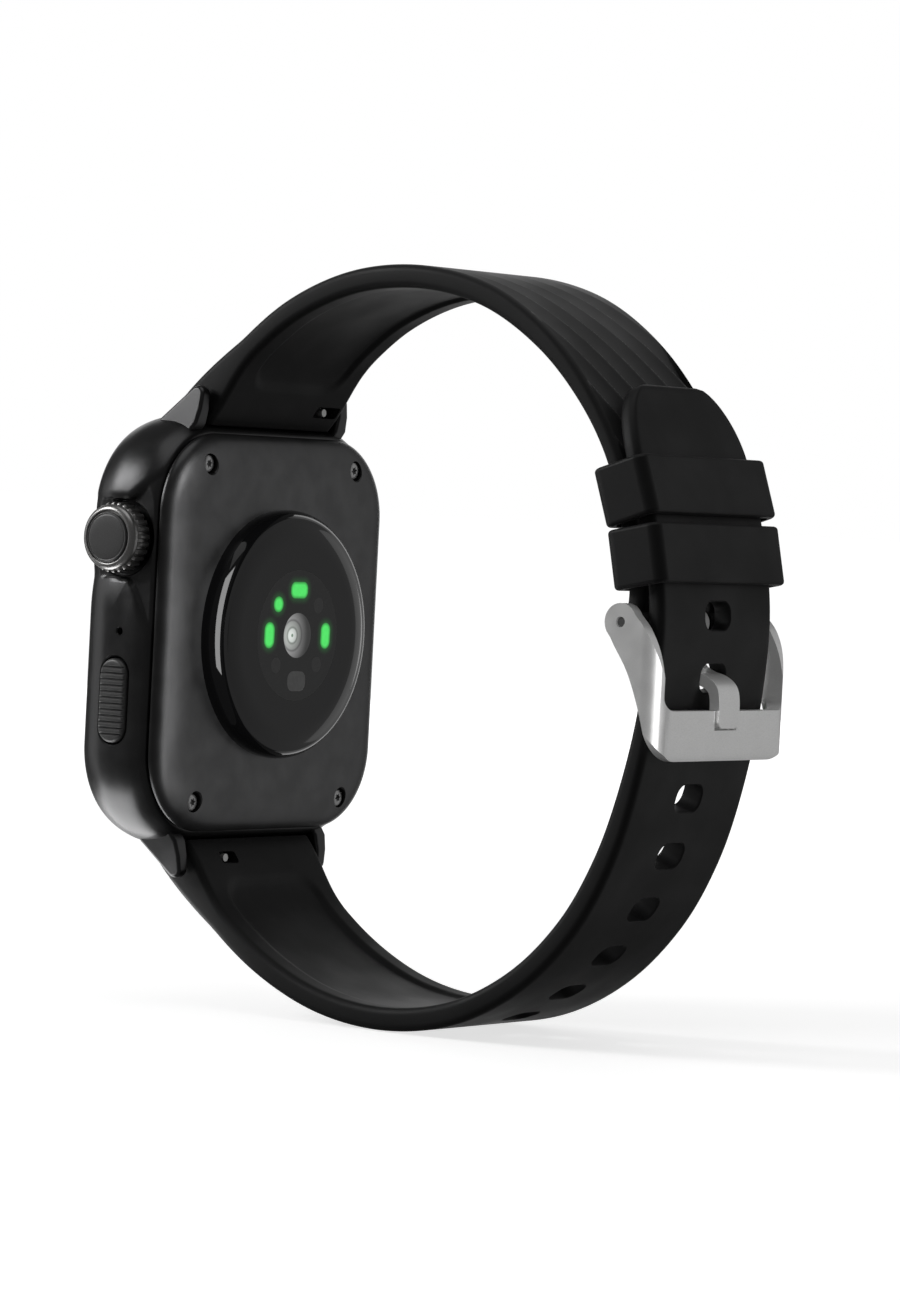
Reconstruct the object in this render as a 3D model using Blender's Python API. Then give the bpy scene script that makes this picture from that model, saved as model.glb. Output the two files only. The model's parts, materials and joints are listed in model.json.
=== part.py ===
"""A smartwatch with a closed two-piece silicone strap, built as separate pieces.

Frame: the origin is the centre of the flat face of the optical sensor, which rests on the wrist.
+X points out of the back of the case towards the buckle, +Z to twelve o'clock, and the crown is on
the -Y side. Lengths below are in millimetres and become metres when a mesh is made.
"""

import math

import bmesh
import bpy
from mathutils import Matrix, Vector

MM = 0.001

# Case, measured along X from the sensor face
COVER_FLAT_X = -2.6
PARTING_X = -4.7
FRONT_RIM_X = -13.6
GLASS_FRONT_X = -14.3
LEDGE_FRONT_X = -13.0
LEDGE_BACK_X = -12.0
# Sections of the case frame from the parting line to the front rim: x, half width, half height, radius
FRAME_SECTIONS = (
    (PARTING_X, 19.1, 21.2, 8.8),
    (-5.3, 19.45, 21.75, 9.2),
    (-6.5, 19.8, 22.4, 9.7),
    (-8.3, 19.95, 22.75, 10.0),
    (-10.2, 19.9, 22.7, 10.0),
    (-11.8, 19.5, 22.3, 9.8),
    (-12.9, 19.0, 21.8, 9.5),
    (FRONT_RIM_X, 18.4, 21.2, 9.0),
)
COVER_HALF_W, COVER_HALF_H, COVER_CORNER = 19.0, 21.1, 8.7
COVER_EDGE = ((-4.5, 0.0), (-3.9, 0.3), (-3.3, 0.9), (-2.85, 1.8), (COVER_FLAT_X, 3.0))
SCREW_Y, SCREW_Z = 12.78, 17.85

# Optical sensor
DOME_R, DOME_FACE_R, DOME_SOCKET_R = 13.3, 12.0, 11.3
DOME_PROFILE = (
    (-4.3, DOME_SOCKET_R), (-2.5, DOME_SOCKET_R), (-2.5, DOME_R), (-1.9, DOME_R),
    (-1.2, 13.1), (-0.6, 12.75), (-0.2, 12.4), (0.0, DOME_FACE_R),
)
WINDOW_R, WINDOW_T = 6.9, 0.5
LENS_R, LENS_PORT_R = 2.4, 2.5
# Optical windows round the lens: name, y, z, half sizes, corner radius, and whether it is lit
OPTICS = (
    ("green_led_top", 0.0, 4.85, 1.6, 0.95, 0.5, True),
    ("green_led_upper_left", -3.55, 3.3, 0.9, 0.9, 0.88, True),
    ("green_led_left", -4.9, 0.0, 0.95, 1.5, 0.93, True),
    ("green_led_right", 4.95, 0.0, 0.9, 1.5, 0.88, True),
    ("photodiode_bottom", 0.2, -4.9, 1.7, 1.15, 0.5, False),
    ("photodiode_upper_right", 3.5, 3.25, 0.9, 0.9, 0.88, False),
    ("photodiode_lower_left", -3.5, -3.2, 0.9, 0.9, 0.88, False),
    ("photodiode_lower_right", 3.6, -3.1, 0.9, 0.9, 0.88, False),
)

# Crown and side button, on the -Y flank
CROWN_X, CROWN_Z = -9.0, 9.65
CROWN_FACE_Y, CROWN_R, CROWN_TEETH = -22.0, 3.7, 24
# Grip ring and cap, from the case outwards: y, then tip and root radius, or radius
CROWN_RING = ((-18.4, 3.45, 3.2), (-18.7, CROWN_R, 3.35), (-20.7, CROWN_R, 3.35), (-21.0, 3.5, 3.25))
CROWN_CAP = ((-21.15, 3.35), (-21.55, 3.3), (-21.85, 2.95), (-21.85, 2.75), (-21.9, 2.5), (-22.0, 2.3))
POCKET_Y = -19.1
# Outline (x, z) of the flat round the crown: narrow towards the glass, flared towards the cover
CROWN_POCKET = (
    (-13.2, 5.4), (-7.9, 5.3), (-7.2, 4.6), (-4.0, -1.2),
    (-4.0, 17.2), (-7.1, 14.3), (-7.9, 13.7), (-13.2, 13.6),
)
BUTTON_X, BUTTON_Z = -8.75, -7.45
BUTTON_FACE_Y, BUTTON_GROOVES = -20.25, 10
BUTTON_SLOT_FLOOR_Y = -18.1
MIC_X, MIC_Z = -8.3, -0.15

# Lugs and quick-release spring bars
LUG_IN_Y, LUG_OUT_Y = 11.35, 13.6
BAR_X, BAR_Z, BAR_R = -6.5, 23.95, 0.75
BAR_TRAVEL = 1.3

# Strap: hand-chosen points (x, z) of each half's centre line, from the case to the free end
SHORT_POINTS = (
    (-9.6, 20.9), (-6.6, 23.75), (-1.5, 29.3), (5.1, 34.4), (13.0, 37.5), (21.5, 38.1), (29.8, 36.3),
    (37.0, 32.0), (42.6, 26.2), (46.4, 19.9), (48.6, 12.9), (49.65, 8.0), (49.5, 4.2),
)
LONG_POINTS = (
    (-9.8, -20.9), (-6.9, -23.7), (-1.6, -29.4), (5.2, -34.3), (13.0, -37.5), (21.5, -38.45),
    (30.0, -36.95), (37.45, -32.95), (43.3, -27.1), (47.2, -20.4), (49.7, -13.2), (51.5, -4.6),
    (52.2, 4.7), (50.9, 13.1), (48.25, 21.25), (45.2, 27.9),
)
STRAP_LUG_W, STRAP_END_W = 21.8, 20.7
STRAP_LUG_T, STRAP_T, STRAP_END_T = 4.6, 2.45, 1.9
HOLE_W, HOLE_H, HOLE_PITCH = 4.5, 2.9, 6.2
TONGUE_HOLE_Z = -1.3
HOLES_ABOVE, HOLES_BELOW = 3, 7

# Buckle: the pin's axis runs along Y through (PIN_X, PIN_Z)
PIN_X, PIN_Z, PIN_R = 49.5, 4.2, 0.7
BUCKLE_IN_Y, BUCKLE_OUT_Y = 11.0, 12.3
BAR_IN_X, BAR_OUT_X = 53.2, 54.6
BAR_TOP_Z, BAR_LOW_Z = -4.4, -9.5
EAR_R = 1.9
TONGUE_W, TONGUE_T = 3.8, 1.2
TONGUE_POINTS = (
    (49.6, 2.8), (49.65, 1.2), (50.4, -0.4), (51.7, -1.15),
    (53.0, -1.5), (54.1, -2.25), (54.45, -3.6), (54.45, -6.2),
)
KEEPER_H, KEEPER_WALL = 6.1, 0.9
KEEPER_HALF_Y = 11.8


# ---------------------------------------------------------------- helpers


def clear_scene():
    for obj in list(bpy.data.objects):
        bpy.data.objects.remove(obj)


def make_material(name, color, roughness, metallic=0.0, glow=0.0):
    material = bpy.data.materials.new(name)
    material.use_nodes = True
    shader = material.node_tree.nodes["Principled BSDF"]
    shader.inputs["Base Color"].default_value = (*color, 1.0)
    shader.inputs["Roughness"].default_value = roughness
    shader.inputs["Metallic"].default_value = metallic
    if glow:
        shader.inputs["Emission Color"].default_value = (*color, 1.0)
        shader.inputs["Emission Strength"].default_value = glow
    return material


def add_object(name, mesh, material=None):
    """Links an object made from a bmesh in millimetres. Without a material it is a cutter."""
    bmesh.ops.recalc_face_normals(mesh, faces=mesh.faces)
    bmesh.ops.scale(mesh, vec=(MM, MM, MM), verts=mesh.verts)
    data = bpy.data.meshes.new(name)
    mesh.to_mesh(data)
    mesh.free()
    obj = bpy.data.objects.new(name, data)
    bpy.context.scene.collection.objects.link(obj)
    if material is None:
        obj.hide_render = True
        obj.display_type = "WIRE"
    else:
        data.materials.append(material)
        data.shade_smooth()
        data.set_sharp_from_angle(angle=math.radians(30))
    return obj


def boolean(target, other, operation="DIFFERENCE"):
    modifier = target.modifiers.new(other.name, "BOOLEAN")
    modifier.operation = operation
    modifier.object = other
    modifier.solver = "EXACT"


def hold_on_axis(name, point, *objects):
    """An empty on a joint's axis, with the moving pieces parented to it in place."""
    empty = bpy.data.objects.new(name, None)
    empty.location = Vector(point) * MM
    bpy.context.scene.collection.objects.link(empty)
    for obj in objects:
        obj.parent = empty
        obj.matrix_parent_inverse = Matrix.Translation(-Vector(point) * MM)


def rounded_outline(half_u, half_v, radius, centre=(0.0, 0.0), steps=6):
    """The points of a rounded rectangle, anticlockwise."""
    points = []
    for quarter, (sign_u, sign_v) in enumerate(((1, 1), (-1, 1), (-1, -1), (1, -1))):
        for step in range(steps + 1):
            angle = math.radians(90 * (quarter + step / steps))
            u = centre[0] + sign_u * (half_u - radius) + radius * math.cos(angle)
            v = centre[1] + sign_v * (half_v - radius) + radius * math.sin(angle)
            points.append((u, v))
    return points


def circle_outline(radius, centre=(0.0, 0.0), steps=24):
    angles = [2 * math.pi * step / steps for step in range(steps)]
    return [(centre[0] + radius * math.cos(a), centre[1] + radius * math.sin(a)) for a in angles]


def on_plane(outline, axis, at):
    """Lifts a flat outline to 3-D: (y, z) at an X, or (x, z) at a Y."""
    if axis == "X":
        return [(at, u, v) for u, v in outline]
    return [(u, at, v) for u, v in outline]


def loft(loops, ring=False):
    """A bmesh through loops of equal length: capped at both ends, or joined end to start as a ring."""
    mesh = bmesh.new()
    rows = [[mesh.verts.new(point) for point in loop] for loop in loops]
    pairs = list(zip(rows, rows[1:]))
    if ring:
        pairs.append((rows[-1], rows[0]))
    else:
        mesh.faces.new(rows[0])
        mesh.faces.new(rows[-1])
    for low, high in pairs:
        for i in range(len(low)):
            j = (i + 1) % len(low)
            mesh.faces.new((low[i], low[j], high[j], high[i]))
    return mesh


def prism(outline, axis, start, end):
    return loft([on_plane(outline, axis, start), on_plane(outline, axis, end)])


def box(low, high):
    mid_y, mid_z = (low[1] + high[1]) / 2, (low[2] + high[2]) / 2
    half_y, half_z = (high[1] - low[1]) / 2, (high[2] - low[2]) / 2
    signs = ((1, 1), (-1, 1), (-1, -1), (1, -1))
    corners = [(mid_y + sy * half_y, mid_z + sz * half_z) for sy, sz in signs]
    return prism(corners, "X", low[0], high[0])


def tube(outer, inner, axis, start, end):
    """A straight tube between two flat outlines of equal length."""
    loops = [on_plane(outer, axis, start), on_plane(outer, axis, end)]
    loops += [on_plane(inner, axis, end), on_plane(inner, axis, start)]
    return loft(loops, ring=True)


def turned(profile, axis, centre, steps=24):
    """A solid of revolution: profile is (position along the axis, radius), from end to end."""
    return loft([on_plane(circle_outline(r, centre, steps), axis, at) for at, r in profile])


def joined(name, meshes):
    """Several bmeshes in one cutter."""
    whole = bmesh.new()
    for part in meshes:
        bmesh.ops.recalc_face_normals(part, faces=part.faces)
        data = bpy.data.meshes.new(name + "_part")
        part.to_mesh(data)
        part.free()
        whole.from_mesh(data)
        bpy.data.meshes.remove(data)
    return add_object(name, whole)


class Path:
    """A smooth curve in the X-Z plane through hand-chosen points, read by its length."""

    def __init__(self, points, samples=24):
        self.points = []
        padded = [points[0], *points, points[-1]]
        for a, b, c, d in zip(padded, padded[1:], padded[2:], padded[3:]):
            for step in range(samples):
                self.points.append(self.between(a, b, c, d, step / samples))
        self.points.append(Vector(points[-1]))
        self.lengths = [0.0]
        for a, b in zip(self.points, self.points[1:]):
            self.lengths.append(self.lengths[-1] + (b - a).length)
        self.total = self.lengths[-1]

    @staticmethod
    def between(a, b, c, d, t):
        a, b, c, d = Vector(a), Vector(b), Vector(c), Vector(d)
        slope_b, slope_c = (c - a) / 2, (d - b) / 2
        return (
            (2 * t**3 - 3 * t**2 + 1) * b
            + (t**3 - 2 * t**2 + t) * slope_b
            + (3 * t**2 - 2 * t**3) * c
            + (t**3 - t**2) * slope_c
        )

    def frame(self, length):
        """The point, the direction along the path and the outward normal at a length."""
        length = min(max(length, 0.0), self.total)
        i = next(k for k, end in enumerate(self.lengths[1:]) if end >= length)
        span = self.lengths[i + 1] - self.lengths[i]
        point = self.points[i].lerp(self.points[i + 1], (length - self.lengths[i]) / span)
        before, after = self.points[max(i - 2, 0)], self.points[min(i + 3, len(self.points) - 1)]
        along = (after - before).normalized()
        normal = Vector((along[1], -along[0]))
        centre = Vector((20.0, 0.0))
        if normal.dot(point - centre) < 0:
            normal.negate()
        return point, along, normal

    def length_at(self, z):
        """The length at which the path's far stretch passes a height."""
        far = [i for i, point in enumerate(self.points) if point[0] > 30]
        return self.lengths[min(far, key=lambda i: abs(self.points[i][1] - z))]


def across_path(path, length, outline):
    """Places an outline of (distance along the normal, y) square to the path."""
    point, _, normal = path.frame(length)
    return [(point[0] + normal[0] * n, y, point[1] + normal[1] * n) for n, y in outline]


def smooth_step(t):
    t = min(max(t, 0.0), 1.0)
    return t * t * (3 - 2 * t)


# ---------------------------------------------------------------- case


def grown_frame(by):
    """The case frame's outer loops, grown on every side."""
    return [on_plane(rounded_outline(w + by, h + by, r + by), "X", x) for x, w, h, r in FRAME_SECTIONS]


def lug_outline(side):
    points = (
        (-10.6, 19.8), (-10.3, 21.8), (-9.5, 22.6), (-6.3, 25.55), (-5.6, 26.0), (-4.8, 26.0), (-4.2, 25.5),
        (-4.05, 24.7), (-4.4, 22.2), (-4.9, 21.6), (-5.2, 20.9), (-5.3, 19.8),
    )
    return [(x, side * z) for x, z in points]


def screw_places():
    return [(y, z) for y in (SCREW_Y, -SCREW_Y) for z in (SCREW_Z, -SCREW_Z)]


def case_frame(metal):
    frame = add_object("case_frame", loft(grown_frame(0.0)), metal)
    cavity = prism(rounded_outline(17.0, 19.4, 7.0), "X", LEDGE_BACK_X, PARTING_X + 1)
    boolean(frame, add_object("cut_cavity", cavity))
    glass_seat = prism(rounded_outline(17.9, 20.7, 8.5), "X", LEDGE_FRONT_X, FRONT_RIM_X - 1)
    boolean(frame, add_object("cut_glass_seat", glass_seat))
    for side in (1, -1):
        for flank in (1, -1):
            lug = prism(lug_outline(side), "Y", flank * LUG_IN_Y, flank * LUG_OUT_Y)
            boolean(frame, add_object(f"add_lug_{side}_{flank}", lug), "UNION")
    for number, place in enumerate(screw_places()):
        boss = turned(((LEDGE_BACK_X - 0.4, 1.7), (-6.1, 1.7)), "X", place, 12)
        boolean(frame, add_object(f"add_boss_{number}", boss), "UNION")
    window = rounded_outline(15.8, 18.4, 6.0)
    boolean(frame, add_object("cut_window", prism(window, "X", LEDGE_FRONT_X - 0.5, LEDGE_BACK_X + 0.5)))
    pilots = [turned(((-9.5, 0.7), (-4.0, 0.7)), "X", place, 12) for place in screw_places()]
    boolean(frame, joined("cut_pilots", pilots))
    pocket = prism(CROWN_POCKET, "Y", POCKET_Y, POCKET_Y - 3)
    boolean(frame, add_object("cut_crown_pocket", pocket))
    boolean(frame, joined("cut_flank", flank_cutters()))
    button_stem_hole = turned(((BUTTON_SLOT_FLOOR_Y - 0.4, 0.8), (-16.0, 0.8)), "Y", (BUTTON_X, BUTTON_Z), 12)
    boolean(frame, add_object("cut_button_stem", button_stem_hole))
    boolean(frame, joined("cut_lug_holes", lug_hole_cutters()))


def flank_cutters():
    """Holes in the flanks: the crown's counterbore and bush, the button's slot, microphone, speaker."""
    crown, button = (CROWN_X, CROWN_Z), (BUTTON_X, BUTTON_Z)
    cutters = [
        turned(((-22.0, 4.0), (-18.0, 4.0), (-18.0, 2.1), (-16.0, 2.1)), "Y", crown),
        prism(rounded_outline(1.95, 4.65, 1.95, button), "Y", -21.5, BUTTON_SLOT_FLOOR_Y),
        turned(((-21.0, 0.37), (-16.0, 0.37)), "Y", (MIC_X, MIC_Z), 10),
    ]
    for z in (-6.0, -2.0, 2.0):
        cutters.append(prism(rounded_outline(0.5, 1.5, 0.5, (-8.7, z), 3), "Y", 16.0, 21.0))
    return cutters


def lug_hole_cutters():
    return [
        turned(((flank * 11.0, 0.5), (flank * 13.0, 0.5)), "Y", (BAR_X, side * BAR_Z), 12)
        for side in (1, -1)
        for flank in (1, -1)
    ]


def back_cover(metal, rubber):
    loops = [on_plane(rounded_outline(16.3, 18.7, 6.3), "X", x) for x in (-5.9, -4.5)]
    for x, inset in COVER_EDGE:
        outline = rounded_outline(COVER_HALF_W - inset, COVER_HALF_H - inset, COVER_CORNER - inset)
        loops.append(on_plane(outline, "X", x))
    cover = add_object("back_cover", loft(loops), metal)
    hollow = prism(rounded_outline(14.0, 14.8, 5.0), "X", -7.0, -4.0)
    boolean(cover, add_object("cut_cover_hollow", hollow))
    socket = turned(((-5.0, 11.6), (-1.0, 11.6)), "X", (0, 0), 36)
    boolean(cover, add_object("cut_cover_socket", socket))
    stepped = ((-7.0, 0.75), (-4.2, 0.75), (-4.2, 1.1), (-1.0, 1.1))
    holes = [turned(stepped, "X", place, 12) for place in screw_places()]
    boolean(cover, joined("cut_cover_screws", holes))
    gasket = tube(rounded_outline(16.93, 19.33, 6.93), rounded_outline(16.73, 19.13, 6.73), "X", -5.7, -4.9)
    add_object("cover_gasket", gasket, rubber)


def case_screws(steel):
    for name, y, z in (
        ("upper_left", -SCREW_Y, SCREW_Z),
        ("upper_right", SCREW_Y, SCREW_Z),
        ("lower_left", -SCREW_Y, -SCREW_Z),
        ("lower_right", SCREW_Y, -SCREW_Z),
    ):
        profile = ((-8.6, 0.35), (-8.2, 0.55), (-4.1, 0.55), (-4.1, 0.95), (-3.5, 0.95), (-3.35, 0.8))
        screw = add_object(f"case_screw_{name}", turned(profile, "X", (y, z), 12), steel)
        for half_y, half_z in ((0.5, 0.13), (0.13, 0.5)):
            slot = box((-3.7, y - half_y, z - half_z), (-3.0, y + half_y, z + half_z))
            boolean(screw, add_object(f"cut_cross_{name}_{half_z}", slot))


def front(glass, rubber, dark):
    """The glass with its rounded edge, its gasket, and the display under it."""
    edge = ((-13.35, 17.55), (-13.7, 17.45), (-14.0, 17.2), (-14.2, 16.8), (GLASS_FRONT_X, 16.2))
    loops = [on_plane(rounded_outline(w, w + 2.8, w - 9.4), "X", x) for x, w in edge]
    add_object("front_glass", loft(loops), glass)
    gasket = tube(rounded_outline(17.3, 20.1, 7.9), rounded_outline(16.4, 19.2, 7.0), "X", -13.25, -13.1)
    add_object("front_gasket", gasket, rubber)
    display = prism(rounded_outline(15.4, 18.0, 5.6), "X", -13.2, -11.7)
    add_object("display_panel", display, dark)


def sensor(gloss, window_tint, green, dim, lens, board):
    dome = add_object("sensor_dome", turned(DOME_PROFILE, "X", (0, 0), 40), gloss)
    seat_r = WINDOW_R + 0.1
    hollow = ((-5.0, 9.5), (-1.4, 9.5), (-1.4, 6.3), (-0.6, 6.3), (-0.6, seat_r), (1.0, seat_r))
    boolean(dome, add_object("cut_dome", turned(hollow, "X", (0, 0), 32)))
    disc = turned(((-WINDOW_T, WINDOW_R), (0.0, WINDOW_R)), "X", (0, 0), 32)
    window = add_object("sensor_window", disc, window_tint)
    ports = []
    for name, y, z, half_y, half_z, radius, lit in OPTICS:
        gap = 0.08
        port = rounded_outline(half_y + gap, half_z + gap, radius + gap, (y, z), 3)
        ports.append(prism(port, "X", -1.0, 1.0))
        pipe = prism(rounded_outline(half_y, half_z, radius, (y, z), 3), "X", -2.2, -0.03)
        add_object(name, pipe, green if lit else dim)
    boolean(window, joined("cut_ports", ports))
    lens_port = turned(((-1.0, LENS_PORT_R), (1.0, LENS_PORT_R)), "X", (0, 0))
    boolean(window, add_object("cut_lens_port", lens_port))
    lens_profile = ((-2.2, LENS_R), (-0.5, LENS_R), (-0.3, LENS_R - 0.4), (-0.15, 1.1))
    add_object("sensor_lens", turned(lens_profile, "X", (0, 0)), lens)
    add_object("sensor_board", turned(((-3.2, 9.0), (-2.4, 9.0)), "X", (0, 0), 36), board)


def inside(pouch, board, metal, dark):
    """The battery, main board, vibration motor, speaker and microphone inside the case."""
    battery = rounded_outline(10.5, 11.5, 1.2, (3.0, -1.5), 3)
    add_object("battery", prism(battery, "X", -9.4, -5.9), pouch)
    main_board = rounded_outline(11.0, 16.5, 3.0, steps=3)
    add_object("main_board", prism(main_board, "X", -10.6, -9.8), board)
    add_object("vibration_motor", turned(((-9.4, 3.6), (-6.8, 3.6)), "X", (-1.5, 14.6), 20), metal)
    speaker = rounded_outline(0.9, 4.6, 0.4, (-8.4, -2.0), 3)
    add_object("speaker", prism(speaker, "Y", 14.2, 16.6), dark)
    microphone = rounded_outline(0.7, 1.0, 0.2, (MIC_X, MIC_Z), 2)
    add_object("microphone", prism(microphone, "Y", -16.7, -15.6), metal)


def crown(body_metal, bright, rubber, dark):
    axis = (CROWN_X, CROWN_Z)
    bush = tube(circle_outline(2.05, axis, 20), circle_outline(1.2, axis, 20), "Y", -17.8, -15.4)
    add_object("crown_bush", bush, bright)
    seal = tube(circle_outline(1.75, axis, 20), circle_outline(1.15, axis, 20), "Y", -15.2, -14.7)
    o_ring = add_object("crown_o_ring", seal, rubber)
    ring_loops = [gear_loop(at, tip, root) for at, tip, root in CROWN_RING]
    gear = add_object("crown_gear_ring", loft(ring_loops), body_metal)
    boolean(gear, add_object("cut_gear_bore", turned(((-22.0, 2.6), (-18.0, 2.6)), "Y", axis)))
    cap = add_object("crown_cap", turned(CROWN_CAP, "Y", axis, 32), body_metal)
    stem_profile = ((-14.2, 1.05), (-18.6, 1.05), (-18.6, 2.45), (-21.0, 2.45))
    stem = add_object("crown_stem", turned(stem_profile, "Y", axis), bright)
    plunger = add_object("crown_plunger", turned(((-14.05, 0.5), (-12.9, 0.5)), "Y", axis, 12), bright)
    block = box((CROWN_X - 1.6, -13.7, CROWN_Z - 1.8), (CROWN_X + 1.6, -11.4, CROWN_Z + 1.8))
    switch = add_object("crown_switch", block, dark)
    switch_bore = turned(((-14.2, 0.65), (-12.3, 0.65)), "Y", axis, 12)
    boolean(switch, add_object("cut_switch_bore", switch_bore))
    hold_on_axis("crown_axis", (CROWN_X, CROWN_FACE_Y, CROWN_Z), o_ring, gear, cap, stem, plunger)


def gear_loop(at, tip, root):
    """One toothed loop of the crown's grip ring."""
    points = []
    for tooth in range(CROWN_TEETH):
        for share, radius in ((0.0, tip), (0.4, tip), (0.55, root), (0.85, root)):
            angle = 2 * math.pi * (tooth + share) / CROWN_TEETH
            points.append((CROWN_X + radius * math.cos(angle), CROWN_Z + radius * math.sin(angle)))
    return on_plane(points, "Y", at)


def side_button(metal, bright, dark):
    centre = (BUTTON_X, BUTTON_Z)
    shape = ((-18.5, 0.0), (-19.9, 0.0), (BUTTON_FACE_Y, 0.35))
    loops = [on_plane(rounded_outline(1.75 - i, 4.45 - i, 1.7 - i, centre, 5), "Y", at) for at, i in shape]
    button = add_object("side_button", loft(loops), metal)
    for number in range(BUTTON_GROOVES):
        z = BUTTON_Z + (number - (BUTTON_GROOVES - 1) / 2) * 0.77
        low = (BUTTON_X - 3, BUTTON_FACE_Y - 1, z - 0.17)
        high = (BUTTON_X + 3, BUTTON_FACE_Y + 0.22, z + 0.17)
        boolean(button, add_object(f"cut_rib_{number}", box(low, high)))
    stem = turned(((-19.0, 0.6), (-15.4, 0.6)), "Y", centre, 12)
    boolean(button, add_object("add_button_stem", stem), "UNION")
    washer = tube(circle_outline(1.3, centre, 16), circle_outline(0.7, centre, 16), "Y", -16.4, -16.0)
    clip = add_object("button_clip", washer, bright)
    switch = box((BUTTON_X - 1.4, -14.9, BUTTON_Z - 1.6), (BUTTON_X + 1.4, -13.6, BUTTON_Z + 1.6))
    add_object("button_switch", switch, dark)
    hold_on_axis("button_axis", (BUTTON_X, BUTTON_FACE_Y, BUTTON_Z), button, clip)


# ---------------------------------------------------------------- strap


def strap_size(path, length, end_thickness):
    """Half width and half thickness along one half of the strap."""
    share = length / path.total
    half_w = (STRAP_LUG_W + (STRAP_END_W - STRAP_LUG_W) * smooth_step(share * 1.6)) / 2
    swell = 1 - smooth_step((length - 4.0) / 10.0)
    thin = smooth_step((share - 0.55) / 0.25)
    thickness = STRAP_T + (STRAP_LUG_T - STRAP_T) * swell + (end_thickness - STRAP_T) * thin
    return half_w, thickness / 2


def strap_solid(name, path, stations, tip_length, material):
    loops = []
    for station in range(stations + 1):
        length = path.total * station / stations
        half_w, half_t = strap_size(path, length, STRAP_END_T)
        from_tip = path.total - length
        if from_tip < tip_length:
            rounding = math.sqrt(max(1 - (1 - from_tip / tip_length) ** 2, 0.0))
            half_w *= 0.42 + 0.58 * rounding
        section = rounded_outline(half_t, half_w, min(0.7, half_t * 0.6), steps=2)
        loops.append(across_path(path, length, section))
    return add_object(name, loft(loops), material)


def bar_room(side, stud_from, stud_to):
    """Cutters in a strap end: the spring bar's bore and the release lever's slot."""
    axis = (BAR_X, side * BAR_Z)
    bore = turned(((-13.0, 0.95), (13.0, 0.95)), "Y", axis, 16)
    slot_z = side * BAR_Z
    slot = box((BAR_X, stud_from, slot_z - 0.6), (BAR_X + 6.0, stud_to, slot_z + 0.6))
    return bore, slot


def short_strap(silicone):
    path = Path(SHORT_POINTS)
    strap = strap_solid("short_strap", path, 36, 0.0, silicone)
    boss = turned(((-STRAP_END_W / 2 + 0.1, 1.5), (STRAP_END_W / 2 - 0.1, 1.5)), "Y", (PIN_X, PIN_Z), 24)
    boolean(strap, add_object("add_pin_boss", boss), "UNION")
    boolean(strap, add_object("cut_case_short", loft(grown_frame(0.35))))
    bore, slot = bar_room(1, 5.9, 9.95)
    boolean(strap, add_object("cut_bar_short", bore))
    boolean(strap, add_object("cut_lever_short", slot))
    pin_bore = turned(((-13.0, PIN_R + 0.2), (13.0, PIN_R + 0.2)), "Y", (PIN_X, PIN_Z), 20)
    boolean(strap, add_object("cut_pin_short", pin_bore))
    notch = box((PIN_X - 4, -TONGUE_W / 2 - 0.3, PIN_Z - 4), (PIN_X + 4, TONGUE_W / 2 + 0.3, PIN_Z + 2.6))
    boolean(strap, add_object("cut_tongue_notch", notch))


def long_strap(silicone):
    path = Path(LONG_POINTS)
    strap = strap_solid("long_strap", path, 48, 9.0, silicone)
    boolean(strap, add_object("cut_case_long", loft(grown_frame(0.35))))
    bore, slot = bar_room(-1, -6.5, -3.7)
    boolean(strap, add_object("cut_bar_long", bore))
    boolean(strap, add_object("cut_lever_long", slot))
    first = path.length_at(TONGUE_HOLE_Z)
    holes = [hole_cutter(path, first + k * HOLE_PITCH) for k in range(-HOLES_BELOW, HOLES_ABOVE + 1)]
    boolean(strap, joined("cut_strap_holes", holes))


def hole_cutter(path, length):
    """A rounded block through the strap, square to it."""
    point, along, normal = path.frame(length)
    loops = []
    for depth in (-3.0, 3.0):
        outline = rounded_outline(HOLE_H / 2, HOLE_W / 2, 1.0, steps=3)
        base = point + normal * depth
        loops.append([(base[0] + along[0] * u, v, base[1] + along[1] * u) for u, v in outline])
    return loft(loops)


def keeper(name, path, height_z, silicone):
    """A loop round both strap layers; its depths are measured from the outer strap's centre line."""
    middle = path.length_at(height_z)
    point, along, normal = path.frame(middle)
    front, back = 2.05, -4.35
    depth_mid, depth_half = (front + back) / 2, (front - back) / 2
    wall = KEEPER_WALL
    outer = rounded_outline(depth_half, KEEPER_HALF_Y, 1.2, steps=3)
    inner = rounded_outline(depth_half - wall, KEEPER_HALF_Y - wall - 0.1, 0.4, steps=3)
    loops = []
    for outline, ends in ((outer, (-1, 1)), (inner, (1, -1))):
        for end in ends:
            base = point + normal * depth_mid + along * (end * KEEPER_H / 2)
            loops.append([(base[0] + normal[0] * n, y, base[1] + normal[1] * n) for n, y in outline])
    return add_object(name, loft(loops, ring=True), silicone)


# ---------------------------------------------------------------- spring bars


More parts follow.
